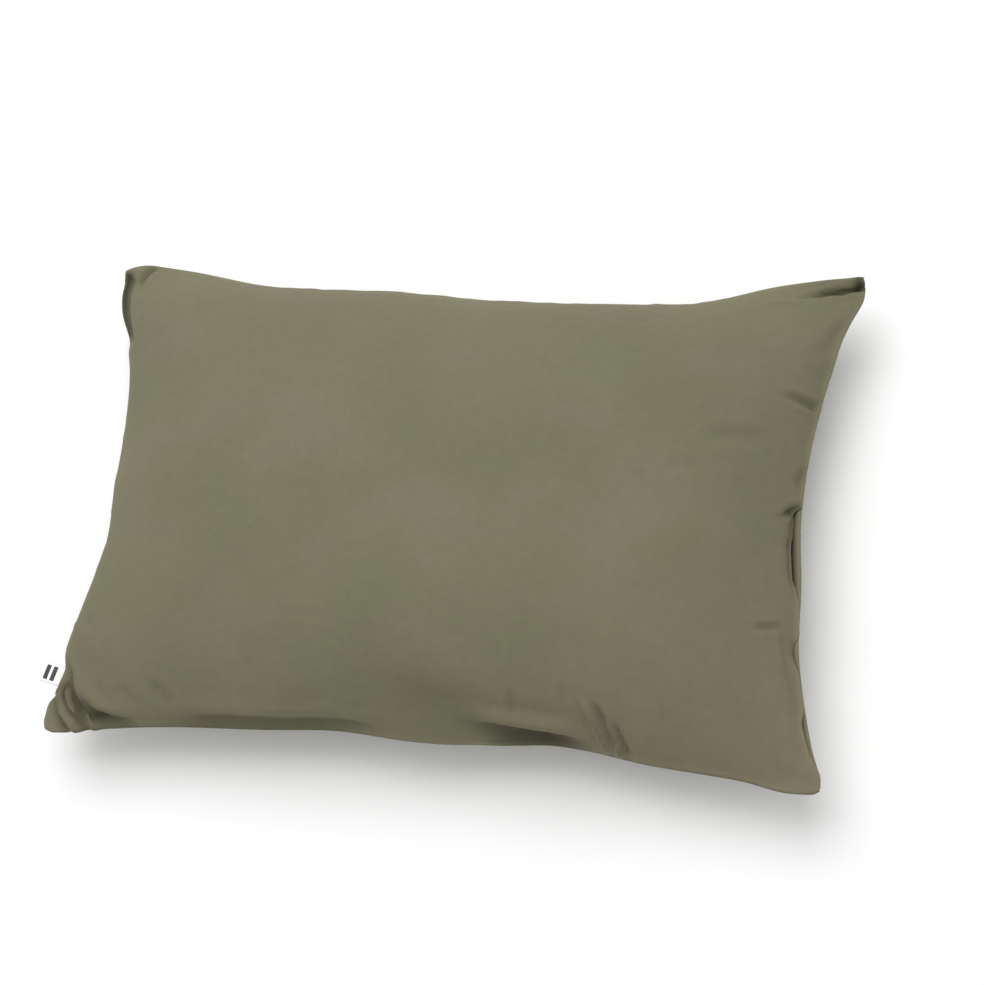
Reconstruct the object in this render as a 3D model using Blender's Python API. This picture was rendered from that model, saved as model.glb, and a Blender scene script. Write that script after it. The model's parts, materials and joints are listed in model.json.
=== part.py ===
"""Stuffed pillow: a fibre-filled insert in an envelope case that is open at one end.

Metres, +Z up. The pillow lies on its back panel. X runs along it, towards the case's open end,
Y runs across it, and the origin is the middle of its box, at the surface that it rests on.

Every layer is the same pillow shape, a Form, nested in the next one out. A form is read at u and v,
which run from -1 to 1 along and across the pillow, and all layers share the same grid of u and v.
"""

import math
from collections import namedtuple

import bpy
from mathutils import Vector

# The filled case, corner to corner, and how far the middle of each edge pulls in from its corners
CASE_LENGTH = 0.590
CASE_WIDTH = 0.384
PULL_CLOSED_END = 0.020
PULL_OPEN_END = 0.027
PULL_UPPER = 0.020
PULL_LOWER = 0.012

# Heights: of the seam above the surface, of the front panel's crown above the seam, and of the
# back panel's belly below the seam if no surface held it up
SEAM_HEIGHT = 0.056
CROWN_HEIGHT = 0.074
BELLY_DEPTH = 0.082
REST_BLEND = 0.006  # height over which the belly turns onto its flat resting patch

# The form: how square its plan is, how steep its rim is, and how fast an edge pulls in
PLAN_POWER = 3.0
RIM_POWER = 0.60
EDGE_POWER = 3.5
INWARD_POWER = 3.0  # how fast an edge's pull-in fades towards the middle of the pillow

# Cloth, thread and clearances
CLOTH = 0.0007
TICKING = 0.0005
SEAM_THREAD = 0.0008
STITCH_THREAD = 0.0006
GAP = 0.0003
INSERT_SLACK = 0.006  # between the case and its insert, at the seam

# The tuck flap inside the open end, and the hems
FLAP_DEPTH = 0.130
FLAP_SPAN = 0.90  # how much of the case's width it spans, as v
HEM_WIDTH = 0.018
BAR_TACK = 0.010
BAR_TACK_WIDTH = 0.002

# The woven label sewn into the closed end's seam, a strip folded in two
LABEL_REACH = 0.018
LABEL_WIDTH = 0.016
LABEL_LAYER = 0.00035
LABEL_SLOT = 0.0003
LABEL_FROM_CORNER = 0.036
LABEL_CLEARANCE = 0.0006

# The care labels inside, each a single strip
CARE_LABEL = 0.0004
CASE_LABEL_LENGTH = 0.050
INSERT_LABEL_LENGTH = 0.040
CLOSING_LENGTH = 0.150  # the run of thread that closes the insert where it was filled

# The grid that all layers share, and the smoothness of a thread and a fold
CELLS_ALONG = 22
CELLS_ACROSS = 16
THREAD_BEVEL = 1
FOLD_STEPS = 6

KHAKI = (0.205, 0.188, 0.122)
KHAKI_THREAD = (0.150, 0.138, 0.088)
WHITE_COTTON = (0.80, 0.79, 0.76)
WHITE_THREAD = (0.72, 0.71, 0.68)
LABEL_WHITE = (0.86, 0.86, 0.84)
FIBRE_WHITE = (0.88, 0.88, 0.87)

UPPER, LOWER = 1, -1
Form = namedtuple("Form", "inset rim crown belly floor")


def grid_lines(cells):
    """Grid lines from -1 to 1, closer together towards the rim, where the form is steep."""
    return [math.sin(math.pi / 2 * (2 * i / cells - 1)) for i in range(cells + 1)]


ALONG = grid_lines(CELLS_ALONG)
ACROSS = grid_lines(CELLS_ACROSS)

SLIT = SEAM_THREAD + 2 * GAP  # between the two panels' rims, where the seam's thread lies
FLAP_FLOOR = CLOTH + GAP + CLOTH
TICKING_FLOOR = FLAP_FLOOR + GAP + STITCH_THREAD + GAP + TICKING


def belly_of(floor):
    """Belly of a layer whose resting patch is at this height: it stays inside the layer below."""
    nesting = 1.5
    return BELLY_DEPTH - nesting * (floor - CLOTH)


CASE = Form(0.0, SLIT / 2, CROWN_HEIGHT, BELLY_DEPTH, CLOTH)
FLAP = Form(CLOTH + GAP, -SLIT / 2, CROWN_HEIGHT, belly_of(FLAP_FLOOR), FLAP_FLOOR)
INSERT = Form(
    INSERT_SLACK + TICKING,
    SLIT / 2,
    CROWN_HEIGHT - GAP - TICKING,
    belly_of(TICKING_FLOOR),
    TICKING_FLOOR,
)
FILL = Form(
    INSERT.inset + SEAM_THREAD + GAP,
    SLIT / 2 - GAP,
    INSERT.crown,
    INSERT.belly,
    TICKING_FLOOR + GAP,
)


def settle(z, floor):
    """Height after the surface below has held the belly up: flat at the floor, then a smooth turn."""
    above = (z - floor) / REST_BLEND
    if above <= -1:
        return floor
    if above >= 1:
        return z
    return floor + REST_BLEND * (above + 1) ** 2 / 4


def pull_in(along, across, low_pull, high_pull):
    """Inward shift at a point, most at the middle of an edge and none at its corners."""
    pull = high_pull if along > 0 else low_pull
    fade = (1 - abs(across) ** EDGE_POWER) * abs(along) ** INWARD_POWER
    return -math.copysign(pull * fade, along)


def plan(inset, u, v):
    """Place of (u, v) in plan, on a form that lies this far inside the case."""
    x = (CASE_LENGTH / 2 - inset) * u + pull_in(u, v, PULL_CLOSED_END, PULL_OPEN_END)
    y = (CASE_WIDTH / 2 - inset) * v + pull_in(v, u, PULL_LOWER, PULL_UPPER)
    return x, y


def form_point(form, side, u, v):
    """Point of a form's upper or lower surface."""
    x, y = plan(form.inset, u, v)
    square = max(0.0, (1 - abs(u) ** PLAN_POWER) * (1 - abs(v) ** PLAN_POWER))
    fullness = square**RIM_POWER
    if side == UPPER:
        return Vector((x, y, SEAM_HEIGHT + form.rim + form.crown * fullness))
    return Vector((x, y, settle(SEAM_HEIGHT - form.rim - form.belly * fullness, form.floor)))


def form_normal(form, side, u, v):
    """Outward normal of a form's surface, from its slopes over a small step."""
    step = 0.004
    u_low, u_high = max(-1.0, u - step), min(1.0, u + step)
    v_low, v_high = max(-1.0, v - step), min(1.0, v + step)
    along = form_point(form, side, u_high, v) - form_point(form, side, u_low, v)
    across = form_point(form, side, u, v_high) - form_point(form, side, u, v_low)
    return along.cross(across).normalized() * side


def nearest(lines, value):
    """The grid line nearest to a value."""
    return min(lines, key=lambda line: abs(line - value))


def between(lines, low, high):
    """The grid lines from low to high."""
    tolerance = 1e-6
    return [line for line in lines if low - tolerance <= line <= high + tolerance]


def clear_scene():
    for thing in list(bpy.data.objects):
        bpy.data.objects.remove(thing, do_unlink=True)


def make_material(name, colour, roughness):
    material = bpy.data.materials.new(name)
    material.use_nodes = True
    shader = material.node_tree.nodes["Principled BSDF"]
    shader.inputs["Base Color"].default_value = (*colour, 1.0)
    shader.inputs["Roughness"].default_value = roughness
    shader.inputs["Metallic"].default_value = 0.0
    return material


def add_object(name, data, material, parent):
    data.materials.append(material)
    thing = bpy.data.objects.new(name, data)
    bpy.context.scene.collection.objects.link(thing)
    thing.parent = parent
    return thing


def add_empty(name, location, turn, parent):
    empty = bpy.data.objects.new(name, None)
    empty.location = location
    empty.rotation_euler.z = turn
    empty.parent = parent
    bpy.context.scene.collection.objects.link(empty)
    return empty


def grid_faces(columns, rows, start, flip):
    """Quads of a grid of columns by rows points, numbered from start, row by row."""
    faces = []
    for j in range(rows - 1):
        for i in range(columns - 1):
            a = start + j * columns + i
            quad = (a, a + 1, a + columns + 1, a + columns)
            faces.append(quad[::-1] if flip else quad)
    return faces


def rim_loop(columns, rows):
    """The point numbers around a grid's rim, anticlockwise seen from above."""
    lower = [i for i in range(columns)]
    right = [j * columns + columns - 1 for j in range(1, rows)]
    upper = [(rows - 1) * columns + i for i in reversed(range(columns - 1))]
    left = [j * columns for j in reversed(range(1, rows - 1))]
    return lower + right + upper + left


def smooth_mesh(name, points, faces):
    mesh = bpy.data.meshes.new(name)
    mesh.from_pydata(points, [], faces)
    mesh.shade_smooth()
    return mesh


def add_sheet(name, form, side, columns, rows, thickness, material, parent, lift=0.0):
    """Cloth over a stretch of a form's surface, thickened outwards."""
    points = []
    for v in rows:
        for u in columns:
            point = form_point(form, side, u, v)
            if lift:
                point += form_normal(form, side, u, v) * lift
            points.append(point)
    faces = grid_faces(len(columns), len(rows), 0, side == LOWER)
    thing = add_object(name, smooth_mesh(name, points, faces), material, parent)
    solidify = thing.modifiers.new("cloth", "SOLIDIFY")
    solidify.thickness = thickness
    solidify.offset = 1.0
    solidify.use_even_offset = True
    return thing


def add_filling(name, form, material, parent):
    """One closed body between a form's upper and lower surfaces."""
    points = [form_point(form, UPPER, u, v) for v in ACROSS for u in ALONG]
    count = len(points)
    points += [form_point(form, LOWER, u, v) for v in ACROSS for u in ALONG]
    faces = grid_faces(len(ALONG), len(ACROSS), 0, False)
    faces += grid_faces(len(ALONG), len(ACROSS), count, True)
    loop = rim_loop(len(ALONG), len(ACROSS))
    for a, b in zip(loop, loop[1:] + loop[:1]):
        faces.append((a, count + a, count + b, b))
    return add_object(name, smooth_mesh(name, points, faces), material, parent)


def add_thread(name, path, diameter, material, parent, closed=False):
    """Thread of this diameter along a path."""
    curve = bpy.data.curves.new(name, "CURVE")
    curve.dimensions = "3D"
    curve.bevel_depth = diameter / 2
    curve.bevel_resolution = THREAD_BEVEL
    curve.use_fill_caps = True
    spline = curve.splines.new("POLY")
    spline.points.add(len(path) - 1)
    for spot, point in zip(spline.points, path):
        spot.co = (*point, 1.0)
    spline.use_cyclic_u = closed
    return add_object(name, curve, material, parent)


def seam_point(cloth, inset, u, v):
    """Point of a seam's line, at the middle of the cloth's thickness."""
    x, y = plan(inset - cloth / 2, u, v)
    return Vector((x, y, SEAM_HEIGHT))


def seam_path(cloth, inset, from_side, to_side):
    """A seam's line around the rim, anticlockwise from one corner to another."""
    corners = {"lower": 0, "open": 1, "upper": 2, "closed": 3}
    sides = [
        [(u, -1.0) for u in ALONG],
        [(1.0, v) for v in ACROSS],
        [(u, 1.0) for u in reversed(ALONG)],
        [(-1.0, v) for v in reversed(ACROSS)],
    ]
    path = []
    for k in range(corners[from_side], corners[to_side] + 1):
        path += [seam_point(cloth, inset, u, v) for u, v in sides[k][:-1]]
    if corners[to_side] - corners[from_side] < len(sides) - 1:
        path.append(seam_point(cloth, inset, *sides[corners[to_side]][-1]))
    return path


def shorten(path, trim):
    """The path with this much taken off each end."""
    first, last = path[1] - path[0], path[-2] - path[-1]
    return [path[0] + first.normalized() * trim, *path[1:-1], path[-1] + last.normalized() * trim]


def surface_path(form, side, columns, rows, lift):
    """A line over a form's surface, held off it by lift."""
    return [
        form_point(form, side, u, v) + form_normal(form, side, u, v) * lift
        for u, v in zip(columns, rows)
    ]


def label_place():
    """The side label's root at the closed end's seam, and the seam's turn there about Z."""
    v = -1 + LABEL_FROM_CORNER / (CASE_WIDTH / 2)
    step = 0.5 * LABEL_WIDTH / (CASE_WIDTH / 2)
    low, high = (Vector((*plan(-CLOTH, -1.0, w), SEAM_HEIGHT)) for w in (v - step, v + step))
    turn = math.atan2(low.x - high.x, high.y - low.y)
    outward = Vector((-math.cos(turn), -math.sin(turn), 0.0))
    root = (low + high) / 2 + outward * LABEL_CLEARANCE
    return root, turn


def label_section():
    """Outline of the folded label, root at x = 0 and fold towards -X, as points in X and Z."""
    outer = LABEL_LAYER + LABEL_SLOT / 2
    inner = LABEL_SLOT / 2
    centre = -(LABEL_REACH - outer)
    turns = [math.pi / 2 * (1 + 2 * i / FOLD_STEPS) for i in range(FOLD_STEPS + 1)]
    outside = [(centre + outer * math.cos(t), outer * math.sin(t)) for t in turns]
    inside = [(centre + inner * math.cos(t), inner * math.sin(t)) for t in reversed(turns)]
    return [(0.0, outer), *outside, (0.0, -outer), (0.0, -inner), *inside, (0.0, inner)]


def add_label(name, material, parent):
    """The folded side label: its section swept along the seam."""
    section = label_section()
    count = len(section)
    points = [(x, -LABEL_WIDTH / 2, z) for x, z in section]
    points += [(x, LABEL_WIDTH / 2, z) for x, z in section]
    faces = [(i, (i + 1) % count, count + (i + 1) % count, count + i) for i in range(count)]
    faces.append(tuple(reversed(range(count))))
    faces.append(tuple(range(count, 2 * count)))
    mesh = smooth_mesh(name, points, faces)
    mesh.flip_normals()
    return add_object(name, mesh, material, parent)


def add_bar_tack(name, v_side, material, parent):
    """Dense stitching across the two panels at one end of the opening."""
    start = (CASE_WIDTH / 2 - BAR_TACK / 2) / (CASE_WIDTH / 2)
    end = start - BAR_TACK / (CASE_WIDTH / 2)
    points = []
    for v in (start, end):
        for inset in (-CLOTH / 2 - BAR_TACK_WIDTH / 2, -CLOTH / 2 + BAR_TACK_WIDTH / 2):
            x, y = plan(inset, 1.0, v * v_side)
            points.append((x, y, SEAM_HEIGHT - SEAM_THREAD / 2))
    faces = [(0, 1, 3, 2) if v_side > 0 else (2, 3, 1, 0)]
    thing = add_object(name, smooth_mesh(name, points, faces), material, parent)
    solidify = thing.modifiers.new("bar", "SOLIDIFY")
    solidify.thickness = SEAM_THREAD
    solidify.offset = 1.0
    return thing


def build_case(parent, cloth, thread):
    """The two panels, the tuck flap and the threads that hold them."""
    add_sheet("case_front_panel", CASE, UPPER, ALONG, ACROSS, CLOTH, cloth, parent)
    add_sheet("case_back_panel", CASE, LOWER, ALONG, ACROSS, CLOTH, cloth, parent)

    flap_start = nearest(ALONG, 1 - FLAP_DEPTH / (CASE_LENGTH / 2))
    flap_columns = between(ALONG, flap_start, 1.0)
    flap_rows = between(ACROSS, -FLAP_SPAN, FLAP_SPAN)
    add_sheet("case_tuck_flap", FLAP, LOWER, flap_columns, flap_rows, CLOTH, cloth, parent)

    for name, side in (("lower", "lower"), ("upper", "upper"), ("closed_end", "closed")):
        path = shorten(seam_path(CLOTH, 0.0, side, side), SEAM_THREAD + GAP)
        add_thread(f"{name}_seam_thread", path, SEAM_THREAD, thread, parent)

    hem_u = nearest(ALONG, 1 - HEM_WIDTH / (CASE_LENGTH / 2))
    hem_lift = CLOTH + GAP + STITCH_THREAD / 2
    path = surface_path(CASE, LOWER, [hem_u] * len(flap_rows), flap_rows, hem_lift)
    add_thread("back_hem_thread", path, STITCH_THREAD, thread, parent)

    hem_u = flap_columns[1]
    hem_rows = flap_rows[1:-1]
    hem_lift = -(GAP + STITCH_THREAD / 2)
    path = surface_path(FLAP, LOWER, [hem_u] * len(hem_rows), hem_rows, hem_lift)
    add_thread("flap_hem_thread", path, STITCH_THREAD, thread, parent)

    add_bar_tack("upper_bar_tack", 1, thread, parent)
    add_bar_tack("lower_bar_tack", -1, thread, parent)


def build_insert(parent, ticking, thread, fibre):
    """The stuffed inner pillow."""
    add_sheet("insert_front_ticking", INSERT, UPPER, ALONG, ACROSS, TICKING, ticking, parent)
    add_sheet("insert_back_ticking", INSERT, LOWER, ALONG, ACROSS, TICKING, ticking, parent)
    path = seam_path(TICKING, INSERT.inset, "lower", "closed")
    add_thread("insert_seam_thread", path, SEAM_THREAD, thread, parent, closed=True)
    add_filling("fibre_fill", FILL, fibre, parent)

    half = CLOSING_LENGTH / CASE_WIDTH
    rows = between(ACROSS, -half, half)
    lift = TICKING + GAP + STITCH_THREAD / 2
    path = surface_path(INSERT, UPPER, [ALONG[-2]] * len(rows), rows, lift)
    add_thread("insert_closing_thread", path, STITCH_THREAD, thread, parent)


def build_labels(frame, cloth):
    """The side label on its seam, and the care labels of the case and of the insert."""
    root, turn = label_place()
    pivot = add_empty("side_label_pivot", root, turn, frame)
    add_label("side_label", cloth, pivot)

    lift = TICKING + GAP
    middle = CELLS_ALONG // 2
    reach = nearest(ALONG, ALONG[middle] + CASE_LABEL_LENGTH / (CASE_LENGTH / 2))
    columns = between(ALONG, ALONG[middle], reach)
    rows = ACROSS[:4]
    add_sheet("case_care_label", INSERT, UPPER, columns, rows, CARE_LABEL, cloth, frame, lift)

    reach = nearest(ACROSS, INSERT_LABEL_LENGTH / (CASE_WIDTH / 2))
    rows = between(ACROSS, 0.0, reach)
    columns = ALONG[:4]
    add_sheet("insert_care_label", INSERT, UPPER, columns, rows, CARE_LABEL, cloth, frame, lift)


def box_middle():
    """How far the case stands to one side, so that the box with the side label is centred."""
    root, turn = label_place()
    tip = root + Vector((-math.cos(turn), -math.sin(turn), 0.0)) * LABEL_REACH
    label_low = tip.x - abs(math.sin(turn)) * LABEL_WIDTH / 2
    low = min(label_low, -CASE_LENGTH / 2)
    return (low + CASE_LENGTH / 2) / 2


def main():
    clear_scene()
    frame = add_empty("pillow_frame", (-box_middle(), 0.0, 0.0), 0.0, None)
    cloth = make_material("washed_khaki_cotton", KHAKI, 0.9)
    cloth_thread = make_material("khaki_thread", KHAKI_THREAD, 0.75)
    ticking = make_material("white_ticking", WHITE_COTTON, 0.85)
    white_thread = make_material("white_thread", WHITE_THREAD, 0.75)
    label = make_material("white_label_tape", LABEL_WHITE, 0.7)
    fibre = make_material("polyester_fibre", FIBRE_WHITE, 1.0)
    build_case(frame, cloth, cloth_thread)
    build_insert(frame, ticking, white_thread, fibre)
    build_labels(frame, label)


main()
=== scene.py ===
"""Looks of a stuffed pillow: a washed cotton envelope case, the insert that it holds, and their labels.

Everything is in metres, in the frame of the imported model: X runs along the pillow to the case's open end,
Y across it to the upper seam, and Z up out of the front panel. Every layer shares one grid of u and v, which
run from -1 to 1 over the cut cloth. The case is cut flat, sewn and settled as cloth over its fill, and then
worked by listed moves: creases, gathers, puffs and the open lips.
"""

import json
import logging
import math
from dataclasses import dataclass, field
from enum import Enum

import bmesh
import bpy
import numpy as np
from mathutils import Euler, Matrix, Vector


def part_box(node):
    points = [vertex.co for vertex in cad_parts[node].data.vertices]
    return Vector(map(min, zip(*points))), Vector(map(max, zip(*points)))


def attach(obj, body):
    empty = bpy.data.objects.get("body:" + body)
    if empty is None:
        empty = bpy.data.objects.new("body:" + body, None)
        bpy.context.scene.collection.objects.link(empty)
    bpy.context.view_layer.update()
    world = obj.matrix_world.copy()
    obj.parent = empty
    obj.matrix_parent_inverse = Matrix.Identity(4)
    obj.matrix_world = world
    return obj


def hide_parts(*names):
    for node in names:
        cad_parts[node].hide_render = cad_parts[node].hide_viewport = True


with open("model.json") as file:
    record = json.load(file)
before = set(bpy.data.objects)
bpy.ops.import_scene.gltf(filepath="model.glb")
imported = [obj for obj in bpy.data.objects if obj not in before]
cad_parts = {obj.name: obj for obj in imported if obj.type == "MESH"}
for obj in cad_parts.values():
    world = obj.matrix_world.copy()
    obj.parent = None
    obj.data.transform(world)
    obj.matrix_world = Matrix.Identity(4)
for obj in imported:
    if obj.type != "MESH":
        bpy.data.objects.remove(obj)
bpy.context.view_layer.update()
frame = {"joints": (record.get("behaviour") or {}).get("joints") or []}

LOG = logging.getLogger("pillow")
CLOTH_UV = "cloth"
# Name of the point attribute that holds painted shade: how far the cloth's colour is darkened in creases and
# folds.
PAINTED_FOLD_SHADE = "painted_fold_shade"
THICKNESS = "thickness"
WANDER_STEPS = 4096
WANDER_START = 1000
TINY = 1e-9
NOISE_RANGE = (0.3, 0.7)
Array = np.ndarray
Colour = tuple[float, float, float]
Scale = tuple[float, float, float]


class Side(Enum):
    """The two faces of a flat-cut bag."""

    FRONT = 1
    BACK = -1


class Body(Enum):
    """The bodies that pieces ride on."""

    PILLOW = "pillow"
    LABEL = "label"


class Edge(Enum):
    """The four edges of the case."""

    CLOSED = "closed"
    OPEN = "open"
    UPPER = "upper"
    LOWER = "lower"


class Relief(Enum):
    """How a crease stands on the cloth."""

    RIDGE = 1
    GROOVE = -1


# ---------------------------------------------------------------- small tools for grids of points


def smoothstep(x: Array) -> Array:
    """Smooth rise from 0 at 0 to 1 at 1, flat at both ends."""
    t = np.clip(x, 0.0, 1.0)
    return t * t * (3 - 2 * t)


def bell(x: Array) -> Array:
    """Smooth bump of height 1 at 0."""
    return np.exp(-x * x)


def spline(values: tuple[float, ...], along: Array) -> Array:
    """A smooth line through values at equal steps from -1 to 1, with a zero added at each end.

    Args:
        values: The values between the two ends.
        along: Places from -1 to 1.

    Returns:
        The line's value at each place.
    """
    knots = np.array([0.0, *values, 0.0])
    slopes = np.gradient(knots)
    place = np.clip((along + 1) / 2, 0, 1) * (len(knots) - 1)
    low = np.minimum(place.astype(int), len(knots) - 2)
    t = place - low
    start, end = knots[low], knots[low + 1]
    hermite_start = (2 * t**3 - 3 * t**2 + 1) * start + (t**3 - 2 * t**2 + t) * slopes[low]
    hermite_end = (3 * t**2 - 2 * t**3) * end + (t**3 - t**2) * slopes[low + 1]
    return hermite_start + hermite_end


def wander(places: Array, pitch: float, seed: int) -> Array:
    """Smooth wandering values along a line, from -1 to 1, the same in each run.

    Args:
        places: Places along the line.
        pitch: Distance between turns.
        seed: Which line of values.

    Returns:
        One value for each place.
    """
    steps = np.random.default_rng(seed).uniform(-1, 1, WANDER_STEPS)
    at = places / pitch + WANDER_START
    low = np.floor(at).astype(int)
    t = smoothstep(at - low)
    return steps[low % WANDER_STEPS] * (1 - t) + steps[(low + 1) % WANDER_STEPS] * t


def corner_keep(a: Array, b: Array) -> Array:
    """How far a square corner is drawn in to make it round.

    Args:
        a: Share of the corner's radius that is passed one way, 0 before it.
        b: The same the other way.

    Returns:
        The share of each distance that is kept.
    """
    return np.where((a > 0) & (b > 0), np.maximum(a, b) / np.maximum(np.hypot(a, b), TINY), 1.0)


def doubled(points: Array) -> Array:
    """Doubles a grid of points, both ways.

    Args:
        points: The grid, rows by columns by 3.

    Returns:
        The grid with a smooth point added between each two.
    """
    for axis in (0, 1):
        rows = np.moveaxis(points, axis, 0)
        first = 2 * rows[:1] - rows[1:2]
        last = 2 * rows[-1:] - rows[-2:-1]
        wide = np.concatenate([first, rows, last])
        middle = (9 * (wide[1:-2] + wide[2:-1]) - wide[:-3] - wide[3:]) / 16
        out = np.empty((2 * len(rows) - 1, *rows.shape[1:]))
        out[::2] = rows
        out[1::2] = middle
        points = np.moveaxis(out, 0, axis)
    return points


def sampled(points: Array, u: Array, v: Array) -> Array:
    """Points of a layer between its grid's lines.

    Args:
        points: The layer, rows by columns by 3.
        u: Places along, from -1 to 1.
        v: Places across, from -1 to 1.

    Returns:
        One point for each pair of u and v.
    """
    rows, columns = points.shape[:2]
    column = np.clip((np.asarray(u) + 1) / 2, 0, 1) * (columns - 1)
    row = np.clip((np.asarray(v) + 1) / 2, 0, 1) * (rows - 1)
    c = np.minimum(column.astype(int), columns - 2)
    r = np.minimum(row.astype(int), rows - 2)
    a = (column - c)[..., None]
    b = (row - r)[..., None]
    low = points[r, c] * (1 - a) + points[r, c + 1] * a
    high = points[r + 1, c] * (1 - a) + points[r + 1, c + 1] * a
    return low * (1 - b) + high * b


def normals_of(points: Array, side: Side) -> Array:
    """Finds which way a layer faces.

    Args:
        points: The layer, rows by columns by 3.
        side: Which face of the bag it is.

    Returns:
        Outward unit normals, in the shape of its points.
    """
    along = np.gradient(points, axis=1)
    across = np.gradient(points, axis=0)
    normal = np.cross(along, across) * side.value
    return normal / np.maximum(np.linalg.norm(normal, axis=-1, keepdims=True), 1e-12)


def grid_quads(index: Array, side: Side) -> Array:
    """Faces between neighbouring points of a grid.

    Args:
        index: The point number at each place of the grid.
        side: Which way the faces look.

    Returns:
        One row of four point numbers for each face.
    """
    corners = [index[:-1, :-1], index[:-1, 1:], index[1:, 1:], index[1:, :-1]]
    faces = np.stack([c.ravel() for c in corners], 1)
    return faces if side is Side.FRONT else faces[:, ::-1]


def grid_index(points: Array) -> Array:
    """The point number at each place of a grid of points."""
    return np.arange(points[..., 0].size).reshape(points.shape[:2])


def linked(name: str, mesh: bpy.types.Mesh) -> bpy.types.Object:
    """Puts a mesh in the scene.

    Args:
        name: The object's name.
        mesh: Its mesh.

    Returns:
        The new object, at the origin.
    """
    thing = bpy.data.objects.new(name, mesh)
    bpy.context.scene.collection.objects.link(thing)
    return thing


def new_piece(name: str, points: Array, faces: Array | list, uv: Array | None = None) -> bpy.types.Object:
    """A mesh object at the origin, shaded smooth.

    Args:
        name: The piece's name.
        points: Points, one row each.
        faces: Point numbers, one row for each face.
        uv: Place of each point on the flat cloth, if the finish follows it.

    Returns:
        The new object.
    """
    mesh = bpy.data.meshes.new(name)
    mesh.from_pydata(np.asarray(points).tolist(), [], np.asarray(faces).tolist())
    if uv is not None:
        layer = mesh.uv_layers.new(name=CLOTH_UV)
        corners = np.array([loop.vertex_index for loop in mesh.loops])
        layer.data.foreach_set("uv", np.asarray(uv)[corners].ravel())
    mesh.shade_smooth()
    return linked(name, mesh)


def new_layer(name: str, points: Array, side: Side, uv: Array) -> bpy.types.Object:
    """A sheet of cloth from a grid of points.

    Args:
        name: The piece's name.
        points: The grid, rows by columns by 3.
        side: Which way it faces.
        uv: Place of each point on the flat cloth, rows by columns by 2.

    Returns:
        The new object.
    """
    faces = grid_quads(grid_index(points), side)
    return new_piece(name, points.reshape(-1, 3), faces, uv.reshape(-1, 2))


def solidified(piece: bpy.types.Object, thickness: float) -> bpy.types.Object:
    """Gives a sheet its thickness, inwards.

    Args:
        piece: The sheet, facing out.
        thickness: The cloth's thickness.

    Returns:
        The same piece.
    """
    wall = piece.modifiers.new(THICKNESS, "SOLIDIFY")
    wall.thickness = thickness
    wall.offset = -1.0
    wall.use_rim = True
    return piece


def paint_shade_in_folds(piece: bpy.types.Object, shade: Array) -> None:
    """Stores each point's painted shade, how far its colour is darkened in its folds, for the finish to read.
    """
    layer = piece.data.attributes.new(PAINTED_FOLD_SHADE, "FLOAT", "POINT")
    layer.data.foreach_set("value", shade.ravel())


def place_piece(piece: bpy.types.Object, node: str, body: Body = Body.PILLOW) -> None:
    """Lets a finished piece stand for its CAD node, and reports it.

    Args:
        piece: The finished piece.
        node: The node that it replaces.
        body: What it rides on.
    """
    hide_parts(node)
    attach(piece, body.value)
    LOG.info("%s: %d faces, for %s", piece.name, len(piece.data.polygons), node)


# ---------------------------------------------------------------- finishes


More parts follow.
